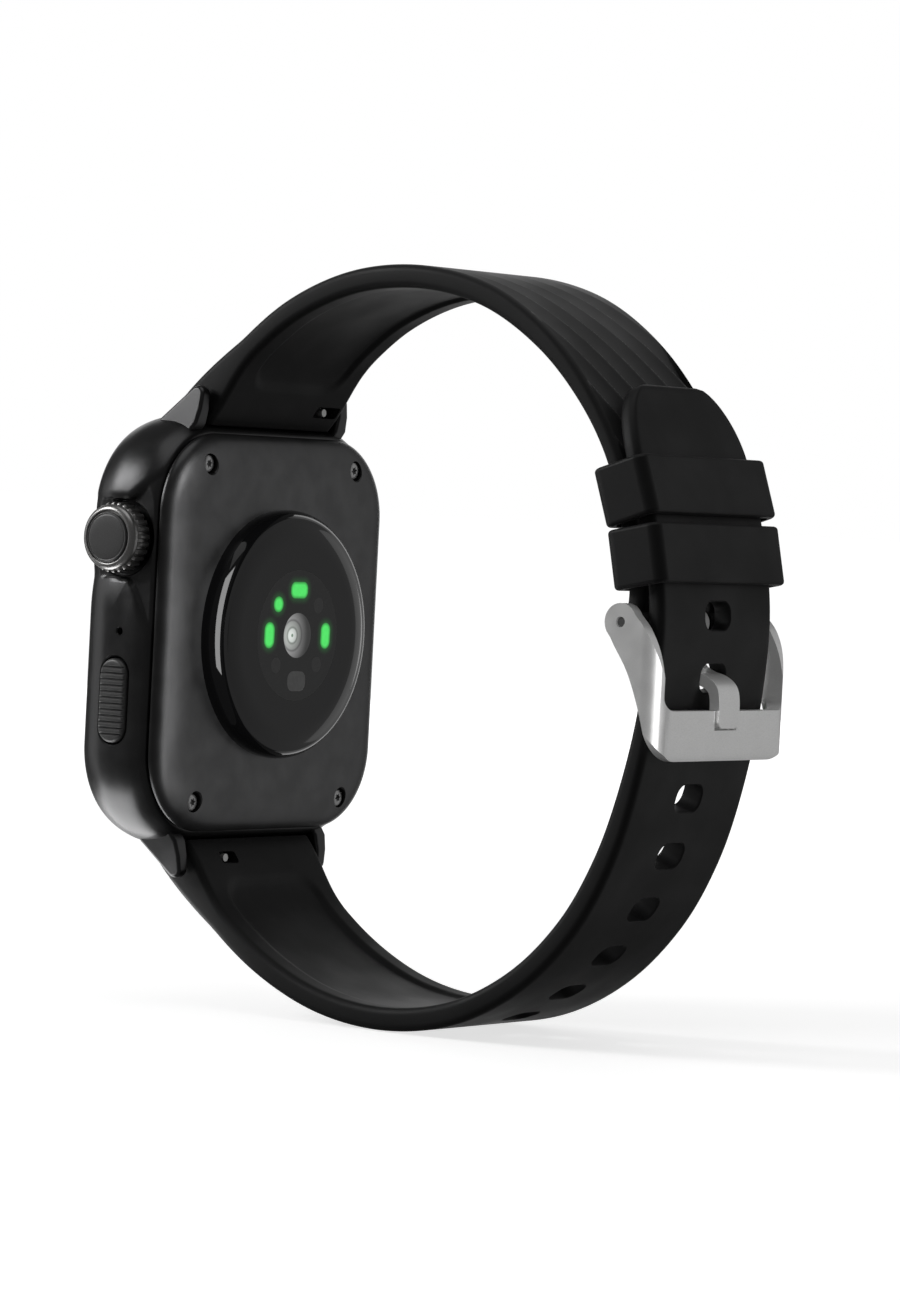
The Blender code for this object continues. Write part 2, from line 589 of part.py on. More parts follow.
def spring_bar(place, side, flank, stud_y, steel):
    """A quick-release bar: a tube, a spring, a fixed tip and a sliding tip with a lever stud."""
    axis = (BAR_X, side * BAR_Z)
    shell = tube(circle_outline(BAR_R, axis, 16), circle_outline(0.48, axis, 16), "Y", -10.6, 10.6)
    shell_obj = add_object(f"spring_bar_tube_{place}", shell, steel)
    travel_end = stud_y - flank * (BAR_TRAVEL + 0.5)
    low, high = sorted((stud_y + flank * 0.5, travel_end))
    slot_z = side * BAR_Z
    slot = box((BAR_X, low, slot_z - 0.4), (BAR_X + 2.0, high, slot_z + 0.4))
    boolean(shell_obj, add_object(f"cut_bar_slot_{place}", slot))
    fixed = ((-flank * 12.7, 0.3), (-flank * 12.5, 0.4), (-flank * 9.0, 0.4))
    add_object(f"spring_bar_tip_{place}", turned(fixed, "Y", axis, 12), steel)
    slide = ((flank * 12.7, 0.3), (flank * 12.5, 0.4), (stud_y - flank * 0.8, 0.4))
    slider = add_object(f"release_slider_{place}", turned(slide, "Y", axis, 12), steel)
    stem = ((BAR_X - 0.1, 0.3), (BAR_X + 2.3, 0.3), (BAR_X + 2.3, 0.42), (BAR_X + 2.8, 0.42))
    stud = turned(stem, "X", (stud_y, side * BAR_Z), 12)
    boolean(slider, add_object(f"add_stud_{place}", stud), "UNION")
    ends = sorted((stud_y - flank * (0.8 + BAR_TRAVEL + 0.15), -flank * 8.8))
    spring = tube(circle_outline(0.42, axis, 12), circle_outline(0.25, axis, 12), "Y", *ends)
    add_object(f"release_spring_{place}", spring, steel)
    hold_on_axis(f"release_axis_{place}", (BAR_X, flank * 12.0, side * BAR_Z), slider)


# ---------------------------------------------------------------- buckle


def buckle_side_outline():
    """The crescent side view (x, z) of an ear and of the front bar's end."""
    ear_end = []
    for step in range(9):
        angle = math.radians(25 + 200 * step / 8)
        ear_end.append((PIN_X + EAR_R * math.cos(angle), PIN_Z + EAR_R * math.sin(angle)))
    inner_edge = ((48.7, 2.0), (50.7, -0.7), (52.2, -4.4), (53.1, -7.8), (53.5, BAR_LOW_Z))
    outer_edge = (
        (54.3, BAR_LOW_Z), (54.65, -8.6), (54.75, -5.0), (54.7, -3.0), (54.3, -0.8), (53.5, 1.8), (52.5, 3.9),
    )
    return [*ear_end, *inner_edge, *outer_edge]


def buckle(steel):
    plan = rounded_outline(8.0, BUCKLE_OUT_Y, 2.6, (BAR_OUT_X - 7.9, 0.0))
    frame = add_object("buckle_frame", loft([[(x, y, z) for x, y in plan] for z in (-12.0, 8.0)]), steel)
    side = prism(buckle_side_outline(), "Y", -15.0, 15.0)
    boolean(frame, add_object("keep_buckle_side", side), "INTERSECT")
    inner = rounded_outline(10.0, BUCKLE_IN_Y, 1.4, (BAR_IN_X - 10.0, 0.0))
    inner_block = loft([[(x, y, z) for x, y in inner] for z in (-13.0, 9.0)])
    boolean(frame, add_object("cut_buckle_inner", inner_block))
    window = rounded_outline(BUCKLE_IN_Y, 8.0, 1.3, (0.0, BAR_TOP_Z + 8.0))
    boolean(frame, add_object("cut_buckle_window", prism(window, "X", 50.0, 58.0)))
    notch_low = (BAR_OUT_X - 0.95, -TONGUE_W / 2 - 0.6, BAR_TOP_Z - 2.5)
    notch_high = (BAR_OUT_X + 2.4, TONGUE_W / 2 + 0.3, BAR_TOP_Z + 1.0)
    boolean(frame, add_object("cut_buckle_notch", box(notch_low, notch_high)))
    pin_holes = turned(((-14.0, PIN_R + 0.1), (14.0, PIN_R + 0.1)), "Y", (PIN_X, PIN_Z), 20)
    boolean(frame, add_object("cut_buckle_pin", pin_holes))
    pin_end = BUCKLE_OUT_Y - 0.05
    pin_solid = turned(((-pin_end, PIN_R), (pin_end, PIN_R)), "Y", (PIN_X, PIN_Z), 20)
    pin = add_object("buckle_pin", pin_solid, steel)
    hold_on_axis("buckle_axis", (PIN_X, 0.0, PIN_Z), frame, pin)


def tongue(steel):
    """A flat prong: it wraps the pin, comes out through a strap hole and rests in the bar's notch."""
    route = Path(TONGUE_POINTS)
    near, far = [], []
    for step in range(19):
        point, along, _ = route.frame(route.total * step / 18)
        across = Vector((-along[1], along[0])) * (TONGUE_T / 2)
        near.append(tuple(point + across))
        far.append(tuple(point - across))
    prong = add_object("buckle_tongue", prism(near + far[::-1], "Y", -TONGUE_W / 2, TONGUE_W / 2), steel)
    wrap = turned(((-TONGUE_W / 2, 1.5), (TONGUE_W / 2, 1.5)), "Y", (PIN_X, PIN_Z), 24)
    boolean(prong, add_object("add_tongue_wrap", wrap), "UNION")
    bore = turned(((-5.0, PIN_R + 0.1), (5.0, PIN_R + 0.1)), "Y", (PIN_X, PIN_Z), 20)
    boolean(prong, add_object("cut_tongue_bore", bore))
    hold_on_axis("tongue_axis", (PIN_X, 0.0, PIN_Z), prong)


# ---------------------------------------------------------------- assembly


def build():
    clear_scene()
    case_black = make_material("case_black", (0.02, 0.02, 0.021), 0.35, 0.6)
    gloss_black = make_material("gloss_black", (0.006, 0.006, 0.007), 0.05)
    window_tint = make_material("window_tint", (0.02, 0.02, 0.022), 0.12)
    silicone = make_material("silicone", (0.014, 0.014, 0.015), 0.6)
    steel = make_material("steel", (0.56, 0.56, 0.56), 0.3, 1.0)
    green = make_material("green_led", (0.1, 0.8, 0.16), 0.3, 0.0, 2.0)
    dim = make_material("dim_optic", (0.05, 0.05, 0.055), 0.3)
    lens = make_material("lens", (0.6, 0.65, 0.62), 0.1)
    board = make_material("board", (0.01, 0.09, 0.03), 0.5)
    pouch = make_material("battery_pouch", (0.35, 0.36, 0.38), 0.4, 0.5)
    rubber = make_material("rubber", (0.02, 0.02, 0.02), 0.7)
    dark = make_material("dark_plastic", (0.03, 0.03, 0.03), 0.5)
    case_frame(case_black)
    back_cover(case_black, rubber)
    case_screws(case_black)
    front(gloss_black, rubber, dark)
    sensor(gloss_black, window_tint, green, dim, lens, board)
    inside(pouch, board, steel, dark)
    crown(case_black, steel, rubber, dark)
    side_button(case_black, steel, dark)
    short_strap(silicone)
    long_strap(silicone)
    outer_path = Path(LONG_POINTS)
    keeper("fixed_keeper", outer_path, 10.9, silicone)
    floating = keeper("floating_keeper", outer_path, 17.6, silicone)
    floating_point = outer_path.frame(outer_path.length_at(17.6))[0]
    hold_on_axis("keeper_axis", (floating_point[0], 0.0, floating_point[1]), floating)
    spring_bar("upper", 1, 1, 7.65, steel)
    spring_bar("lower", -1, -1, -5.8, steel)
    buckle(steel)
    tongue(steel)


build()
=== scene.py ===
"""The looks of the smartwatch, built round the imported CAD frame.

The frame is the row's: the origin is the centre of the sensor's flat face, +X points out of the back
of the case to the buckle, +Z to twelve o'clock, and the crown is on -Y. Shapes are worked out in
millimetres and become metres when a mesh is made.
"""

import json
import math

import bmesh
import bpy
from mathutils import Matrix, Vector


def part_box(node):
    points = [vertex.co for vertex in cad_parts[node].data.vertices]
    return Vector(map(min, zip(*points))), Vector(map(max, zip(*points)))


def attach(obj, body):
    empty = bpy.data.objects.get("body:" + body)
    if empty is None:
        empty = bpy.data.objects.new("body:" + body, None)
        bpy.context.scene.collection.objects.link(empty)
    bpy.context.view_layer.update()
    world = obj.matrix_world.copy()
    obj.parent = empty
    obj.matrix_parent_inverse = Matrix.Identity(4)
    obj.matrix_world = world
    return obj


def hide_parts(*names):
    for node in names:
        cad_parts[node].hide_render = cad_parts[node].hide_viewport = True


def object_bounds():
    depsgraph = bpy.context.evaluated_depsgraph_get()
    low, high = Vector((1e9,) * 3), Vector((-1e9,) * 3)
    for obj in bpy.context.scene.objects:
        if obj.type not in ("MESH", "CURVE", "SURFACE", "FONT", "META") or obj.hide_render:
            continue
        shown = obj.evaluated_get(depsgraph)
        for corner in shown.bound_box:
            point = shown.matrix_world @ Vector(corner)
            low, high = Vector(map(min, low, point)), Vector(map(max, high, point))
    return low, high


MM = 0.001

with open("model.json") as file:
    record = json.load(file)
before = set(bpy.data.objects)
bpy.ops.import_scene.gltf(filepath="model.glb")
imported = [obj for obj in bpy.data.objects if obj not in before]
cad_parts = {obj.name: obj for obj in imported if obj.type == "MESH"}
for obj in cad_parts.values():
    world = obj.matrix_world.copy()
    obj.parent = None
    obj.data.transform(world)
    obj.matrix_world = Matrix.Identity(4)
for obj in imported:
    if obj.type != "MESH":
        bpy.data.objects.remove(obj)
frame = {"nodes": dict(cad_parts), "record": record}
cad_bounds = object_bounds()


def middle(node):
    """The centre of a CAD node, in millimetres."""
    low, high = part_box(node)
    return (low + high) / (2 * MM)


def reach(node):
    """The lowest and highest corners of a CAD node, in millimetres."""
    low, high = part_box(node)
    return low / MM, high / MM


# ---- driving values

# Case frame sections from the parting line to the front rim: x, half width, half height, corner radius
FRAME_SECTIONS = (
    (-4.7, 19.1, 21.2, 8.8),
    (-5.3, 19.45, 21.75, 9.2),
    (-6.5, 19.8, 22.4, 9.7),
    (-8.3, 19.95, 22.75, 10.0),
    (-10.2, 19.9, 22.7, 10.0),
    (-11.8, 19.5, 22.3, 9.8),
    (-12.9, 19.0, 21.8, 9.5),
    (-13.6, 18.4, 21.2, 9.0),
)
FRAME_CHAMFER_BACK, FRAME_CHAMFER_FRONT = 0.16, 0.2
# The hollow inside the frame from the front: x, half width, half height, corner radius
HOLLOW_SECTIONS = (
    (-13.6, 17.9, 20.7, 8.5),
    (-13.0, 17.9, 20.7, 8.5),
    (-13.0, 15.8, 18.4, 6.2),
    (-12.0, 15.8, 18.4, 6.2),
    (-12.0, 17.0, 19.4, 7.0),
    (-4.7, 17.0, 19.4, 7.0),
)
COVER_W, COVER_H, COVER_CORNER = 19.0, 21.1, 8.7
COVER_BACK_X, COVER_EDGE_X = -2.6, -4.25
COVER_ROUND_W = 4.6
COVER_BORE_R = 11.6
SCREWS = ("upper_left", "upper_right", "lower_left", "lower_right")
SCREW_PROFILE = (
    (-8.0, 0.55), (-4.1, 0.55), (-4.1, 0.95), (-3.3, 0.95), (-3.16, 0.88), (-3.08, 0.72), (-3.04, 0.5),
)
GLASS_FRONT_X, GLASS_DEPTH, GLASS_ROUND = -14.3, 0.95, 1.5
GLASS_HALF_W, GLASS_EXTRA_H, GLASS_CORNER_CUT = 17.55, 2.8, 9.4

# The sunken field round the crown, as (x, z), and the long slope of the guard below the crown
POCKET_Y = -19.1
POCKET = (
    (-13.2, 5.4), (-7.9, 5.3), (-7.2, 4.6), (-4.0, -1.2), (-4.0, 17.2), (-7.1, 14.3), (-7.9, 13.7),
    (-13.2, 13.6),
)
POCKET_FILLET = 0.22
POCKET_REACH, POCKET_DROP = 0.9, 0.24
GUARD_REACH, GUARD_DROP = 2.6, 0.12
GUARD_X, GUARD_FADE_X, GUARD_Z, GUARD_FADE_Z = -6.4, 2.0, 7.0, 1.5
FLANK_INNER_Y = -17.0

CROWN_X, _, CROWN_Z = middle("crown_cap")
CROWN_FACE_Y = reach("crown_cap")[0][1]
CROWN_TEETH, TOOTH_R, TOOTH_RISE, ROOT_R, ROOT_RISE = 28, 3.34, 0.36, 3.3, 0.12
CROWN_BORE_R, CROWN_BORE_END_Y = 4.0, -18.05
BUTTON_X, _, BUTTON_Z = middle("side_button")
BUTTON_FACE_Y = reach("side_button")[0][1]
BUTTON_SLOT_X, BUTTON_SLOT_Z = 1.95, 4.65
GROOVES, GROOVE_PITCH, GROOVE_HALF_W, GROOVE_DEPTH = 12, 0.64, 0.46, 0.24
MIC_X, _, MIC_Z = middle("microphone")
BAR_X, _, BAR_Z = middle("spring_bar_tube_upper")
BAR_HOLE_R = 0.95
LUG_IN_Y, LUG_OUT_Y, LUG_TAPER = 11.35, 13.6, 0.15
LUG_TIP, LUG_TIP_R = (-5.3, 25.05), 0.95

# Middle lines (x, z) of the two strap halves, from the lugs on
SHORT_POINTS = (
    (-9.6, 20.9), (-6.6, 23.75), (-1.5, 29.3), (5.1, 34.4), (13.0, 37.5), (21.5, 38.1), (29.8, 36.3),
    (37.0, 32.0), (42.6, 26.2), (46.4, 19.9), (48.6, 12.9), (49.65, 8.0), (49.5, 4.2),
)
LONG_POINTS = (
    (-9.8, -20.9), (-6.9, -23.7), (-1.6, -29.4), (5.2, -34.3), (13.0, -37.5), (21.5, -38.45),
    (30.0, -36.95), (37.45, -32.95), (43.3, -27.1), (47.2, -20.4), (49.7, -13.2), (51.5, -4.6),
    (52.2, 4.7), (50.9, 13.1), (48.25, 21.25), (45.2, 27.9),
)
STRAP_LUG_W, STRAP_END_W = 21.8, 20.7
STRAP_LUG_T, STRAP_T, STRAP_END_T = 4.6, 2.45, 1.9
STRAP_EDGE_R = 0.75
HOLE_W, HOLE_H, HOLE_PITCH = 4.5, 2.9, 6.2
TONGUE_HOLE_Z, HOLES_ABOVE, HOLES_BELOW = -1.3, 3, 7
HOLE_CORNER = 1.2
STRAP_TIP_LENGTH, TIP_BLUNT, TIP_EDGE = 9.0, 0.42, 0.6
CASE_GAP = 0.35
# The shallow panel in the inner face near the lugs
PANEL_FROM, PANEL_FADE, PANEL_FADE_OVER = 8.6, 34.0, 16.0
PANEL_RIM, PANEL_CORNER, PANEL_EDGE, PANEL_DEPTH = 2.7, 3.2, 0.9, 0.35
# The slanting ridges: where they start and end along the strap, their pitch and slant across it
RIDGE_FROM, RIDGE_FADE_IN, RIDGE_TO, RIDGE_FADE_OUT = 38.0, 8.0, 72.0, 4.0
RIDGE_PITCH, RIDGE_DROP, RIDGE_LAST, RIDGE_DEPTH, RIDGE_POWER = 3.7, 0.17, 2, 0.62, 1.7
RIDGE_MID, RIDGE_SHIFT, RIDGE_SLANT, RIDGE_CURL = 53.0, 1.4, 0.32, 0.012
KEEPER_H, KEEPER_WALL, KEEPER_HALF_Y = 6.1, 0.9, 11.8
KEEPER_FRONT, KEEPER_BACK = 2.05, -4.35
KEEPER_EDGE_R, KEEPER_INNER_EDGE_R = 0.42, 0.18
KEEPER_CORNER, KEEPER_INNER_CORNER = 1.25, 0.45

PIN_X, _, PIN_Z = middle("buckle_pin")
PIN_R, PIN_END_R = 0.7, 0.47
KNUCKLE_R = 1.5
BUCKLE_IN_Y, BUCKLE_OUT_Y = 11.0, 12.3
BAR_IN_X, BAR_OUT_X, BAR_TOP_Z, BAR_LOW_Z = 53.2, 54.6, -4.4, -9.5
BAR_CORNER, PLAN_CORNER, PLAN_INNER_CORNER, WINDOW_CORNER = 3.6, 2.6, 1.4, 1.3
EAR_R = 1.9
# Inner and outer side lines (x, z) of an ear, from the pin down to the bar and back up
EAR_INNER = ((48.2, 2.9), (48.9, 1.75), (50.6, -0.8), (52.1, -4.4), (53.05, -7.8), (53.5, BAR_LOW_Z))
EAR_OUTER = (
    (54.3, BAR_LOW_Z), (54.62, -8.4), (54.75, -5.0), (54.55, -2.2), (53.75, 1.2), (52.5, 3.6), (51.3, 4.9),
)
TONGUE_W, TONGUE_T, TONGUE_END_R = 3.8, 1.2, 0.9
TONGUE_GAP, TONGUE_NOTCH_GAP = 0.3, 0.15
# Middle line (x, z) of the tongue, from the pin to its tip on the bar
TONGUE_POINTS = (
    (49.6, 2.8), (49.65, 1.2), (50.4, -0.4), (51.7, -1.15), (53.0, -1.5), (54.1, -2.25), (54.45, -3.6),
    (54.45, -6.2),
)

# The floor's lightness for the camera, and for everything else
FLOOR_TONE, FLOOR_BOUNCE = 0.8, 0.35
FLOOR_SIZE, FLOOR_THICKNESS, FLOOR_GAP = 6000.0, 10.0, 0.1

CAMERA_LENS, CAMERA_SENSOR = 147.3, 36.0
CAMERA_PLACE = (343.202, -453.068, 17.565)
CAMERA_RIGHT = (0.81214, 0.58120, 0.05126)
CAMERA_UP = (-0.06040, -0.00363, 0.99817)
CAMERA_BACK = (0.58032, -0.81375, 0.03215)

LIT_OPTICS = ("green_led_top", "green_led_upper_left", "green_led_left", "green_led_right")
DIM_OPTICS = (
    "photodiode_bottom", "photodiode_upper_right", "photodiode_lower_left", "photodiode_lower_right",
)
SQUARE_OPTICS = ("green_led_top", "photodiode_bottom")
OPTIC_SIZE, OPTIC_GAP, SQUARE_CORNER, PILL_CORNER = 0.93, 0.004, 0.85, 0.98
OPTIC_BACK_X, OPTIC_FACE_X = -0.28, -0.002
DOME_FLAT_R, DOME_SHOULDER_R, DOME_ROLL, DOME_ROLL_POWER = 9.6, 12.1, 0.29, 2.2
WINDOW_R, WINDOW_BACK_X = 7.0, -0.5
LENS_R, LENS_BACK_X, LENS_X = 2.4, -0.3, -0.006
LENS_MIDDLE, LENS_SPAN = (0.0, -0.9, 0.0), 2.8
# Painted rings of light on the lens, in emission that stands in for its reflections: share of LENS_SPAN from
# their bright middle, and colour
LENS_PAINTED_RINGS = (
    (0.0, 0.2, 0.3, 0.22), (0.05, 0.18, 0.26, 0.19), (0.08, 0.75, 0.8, 0.76), (0.24, 0.62, 0.66, 0.63),
    (0.3, 0.2, 0.22, 0.2), (0.38, 0.36, 0.38, 0.36), (0.52, 0.3, 0.31, 0.3), (0.58, 0.13, 0.13, 0.13),
    (0.66, 0.26, 0.26, 0.26), (0.82, 0.2, 0.2, 0.2), (1.0, 0.09, 0.09, 0.09),
)


def pill_of(name):
    """An optic's outline from its CAD node: centre y, centre z, half y, half z and corner radius."""
    low, high = reach(name)
    half_y, half_z = OPTIC_SIZE * (high[1] - low[1]) / 2, OPTIC_SIZE * (high[2] - low[2]) / 2
    radius = min(half_y, half_z) * (SQUARE_CORNER if name in SQUARE_OPTICS else PILL_CORNER)
    return (high[1] + low[1]) / 2, (high[2] + low[2]) / 2, half_y, half_z, radius


# ---- mesh helpers


def new_object(name, mesh, materials=(), angle=32):
    """Links an object made from a bmesh in millimetres, smooth except at edges sharper than angle."""
    bmesh.ops.recalc_face_normals(mesh, faces=mesh.faces)
    bmesh.ops.scale(mesh, vec=(MM, MM, MM), verts=mesh.verts)
    data = bpy.data.meshes.new(name)
    mesh.to_mesh(data)
    mesh.free()
    for material in materials:
        data.materials.append(material)
    data.shade_smooth()
    data.set_sharp_from_angle(angle=math.radians(angle))
    obj = bpy.data.objects.new(name, data)
    bpy.context.scene.collection.objects.link(obj)
    return obj


def apply_modifiers(obj):
    """Makes what an object's modifiers give its mesh."""
    bpy.context.view_layer.update()
    graph = bpy.context.evaluated_depsgraph_get()
    old = obj.data
    data = bpy.data.meshes.new_from_object(obj.evaluated_get(graph))
    obj.modifiers.clear()
    obj.data = data
    bpy.data.meshes.remove(old)


def settle(obj, angle=32):
    """Applies an object's modifiers and shades it smooth except at edges sharper than angle."""
    apply_modifiers(obj)
    obj.data.shade_smooth()
    obj.data.set_sharp_from_angle(angle=math.radians(angle))


def carve(obj, mesh, operation="DIFFERENCE"):
    """Cuts, joins or keeps what a bmesh covers."""
    tool = new_object("tool", mesh)
    modifier = obj.modifiers.new("carve", "BOOLEAN")
    modifier.operation = operation
    modifier.object = tool
    modifier.solver = "EXACT"
    settle(obj)
    data = tool.data
    bpy.data.objects.remove(tool)
    bpy.data.meshes.remove(data)


def merged(meshes):
    """Several bmeshes that stay apart, as one."""
    whole = bmesh.new()
    for part in meshes:
        bmesh.ops.recalc_face_normals(part, faces=part.faces)
        data = bpy.data.meshes.new("part")
        part.to_mesh(data)
        part.free()
        whole.from_mesh(data)
        bpy.data.meshes.remove(data)
    return whole


def soften(obj, width, segments=3, angle=35):
    """Rounds an object's edges by a width in millimetres."""
    modifier = obj.modifiers.new("soften", "BEVEL")
    modifier.width = width * MM
    modifier.segments = segments
    modifier.limit_method = "ANGLE"
    modifier.angle_limit = math.radians(angle)
    settle(obj, 40)
    weigh(obj)


def weigh(obj):
    """Normals that follow the big faces, so that flats look flat beside rounded edges."""
    modifier = obj.modifiers.new("weigh", "WEIGHTED_NORMAL")
    modifier.keep_sharp = True
    modifier.weight = 80
    apply_modifiers(obj)


def rounded_outline(half_u, half_v, radius, centre=(0.0, 0.0), steps=12, sides=(1, 1, 1, 1)):
    """A rounded rectangle, anticlockwise from the +u side's top; sides says how many parts each has."""
    corners = []
    for quarter, (sign_u, sign_v) in enumerate(((1, 1), (-1, 1), (-1, -1), (1, -1))):
        corner = (centre[0] + sign_u * (half_u - radius), centre[1] + sign_v * (half_v - radius))
        corners.append(arc(corner, radius, 90 * quarter, 90 * (quarter + 1), steps))
    points = []
    for quarter, corner in enumerate(corners):
        points += corner
        start, end = corner[-1], corners[(quarter + 1) % 4][0]
        for part in range(1, sides[quarter]):
            share = part / sides[quarter]
            points.append((start[0] + (end[0] - start[0]) * share, start[1] + (end[1] - start[1]) * share))
    return points


def circle_outline(radius, centre, steps):
    angles = [2 * math.pi * step / steps for step in range(steps)]
    return [(centre[0] + radius * math.cos(a), centre[1] + radius * math.sin(a)) for a in angles]


def on_plane(outline, axis, at):
    """Lifts a flat outline to 3-D: (y, z) at an X, (x, z) at a Y, or (x, y) at a Z."""
    if axis == "X":
        return [(at, u, v) for u, v in outline]
    if axis == "Y":
        return [(u, at, v) for u, v in outline]
    return [(u, v, at) for u, v in outline]


def loft(loops, ring=False):
    """A bmesh through loops of equal length: capped, or joined end to start as a ring."""
    mesh = bmesh.new()
    rows = [[mesh.verts.new(point) for point in loop] for loop in loops]
    pairs = list(zip(rows, rows[1:]))
    if ring:
        pairs.append((rows[-1], rows[0]))
    else:
        mesh.faces.new(rows[0])
        mesh.faces.new(rows[-1])
    for low, high in pairs:
        for i in range(len(low)):
            j = (i + 1) % len(low)
            mesh.faces.new((low[i], low[j], high[j], high[i]))
    return mesh


def prism(outline, axis, start, end):
    return loft([on_plane(outline, axis, start), on_plane(outline, axis, end)])


def box(low, high):
    outline = [(low[1], low[2]), (high[1], low[2]), (high[1], high[2]), (low[1], high[2])]
    return prism(outline, "X", low[0], high[0])


def turned(profile, axis, centre=(0.0, 0.0), steps=64):
    """A solid of revolution: profile is (position along the axis, radius), from end to end."""
    return loft([on_plane(circle_outline(r, centre, steps), axis, at) for at, r in profile])


def arc(centre, radius, start, end, steps=6):
    """Points on an arc, with its angles in degrees."""
    angles = [math.radians(start + (end - start) * step / steps) for step in range(steps + 1)]
    return [(centre[0] + radius * math.cos(a), centre[1] + radius * math.sin(a)) for a in angles]


def pillow(half_u, half_v, radius, axis, centre, back, front, edge, steps=10):
    """A rounded block whose front edge is rounded by edge; it faces from back to front."""
    sign = 1 if front > back else -1
    loops = [on_plane(rounded_outline(half_u, half_v, radius, centre, steps), axis, back)]
    for step in range(7):
        turn = math.radians(90 * step / 6)
        inset = edge * (1 - math.cos(turn))
        at = front - sign * edge * (1 - math.sin(turn))
        outline = rounded_outline(half_u - inset, half_v - inset, max(radius - inset, 0.02), centre, steps)
        loops.append(on_plane(outline, axis, at))
    return loft(loops)


def smooth_step(t):
    t = min(max(t, 0.0), 1.0)
    return t * t * (3 - 2 * t)


def hermite(t, start, end, slope_start, slope_end):
    """A cubic from start to end with a slope at each."""
    return (
        (2 * t**3 - 3 * t**2 + 1) * start
        + (t**3 - 2 * t**2 + t) * slope_start
        + (3 * t**2 - 2 * t**3) * end
        + (t**3 - t**2) * slope_end
    )


class Path:
    """A smooth curve in the X-Z plane through given points, read by its length."""

    def __init__(self, points, samples=24):
        self.points = []
        padded = [Vector(point) for point in (points[0], *points, points[-1])]
        for a, b, c, d in zip(padded, padded[1:], padded[2:], padded[3:]):
            for step in range(samples):
                self.points.append(hermite(step / samples, b, c, (c - a) / 2, (d - b) / 2))
        self.points.append(Vector(points[-1]))
        self.lengths = [0.0]
        for a, b in zip(self.points, self.points[1:]):
            self.lengths.append(self.lengths[-1] + (b - a).length)
        self.total = self.lengths[-1]

    def spot(self, length):
        length = min(max(length, 0.0), self.total)
        i = next(k for k, end in enumerate(self.lengths[1:]) if end >= length)
        span = self.lengths[i + 1] - self.lengths[i]
        return self.points[i].lerp(self.points[i + 1], (length - self.lengths[i]) / span)

    def frame(self, length):
        """The point, the direction along the path and the outward normal at a length."""
        point = self.spot(length)
        along = (self.spot(length + 0.8) - self.spot(length - 0.8)).normalized()
        normal = Vector((along[1], -along[0]))
        if normal.dot(point - Vector((20.0, 0.0))) < 0:
            normal.negate()
        return point, along, normal

    def length_at(self, z):
        """The length at which the path's far stretch passes a height."""
        far = [i for i, point in enumerate(self.points) if point[0] > 30]
        return self.lengths[min(far, key=lambda i: abs(self.points[i][1] - z))]


# ---- materials


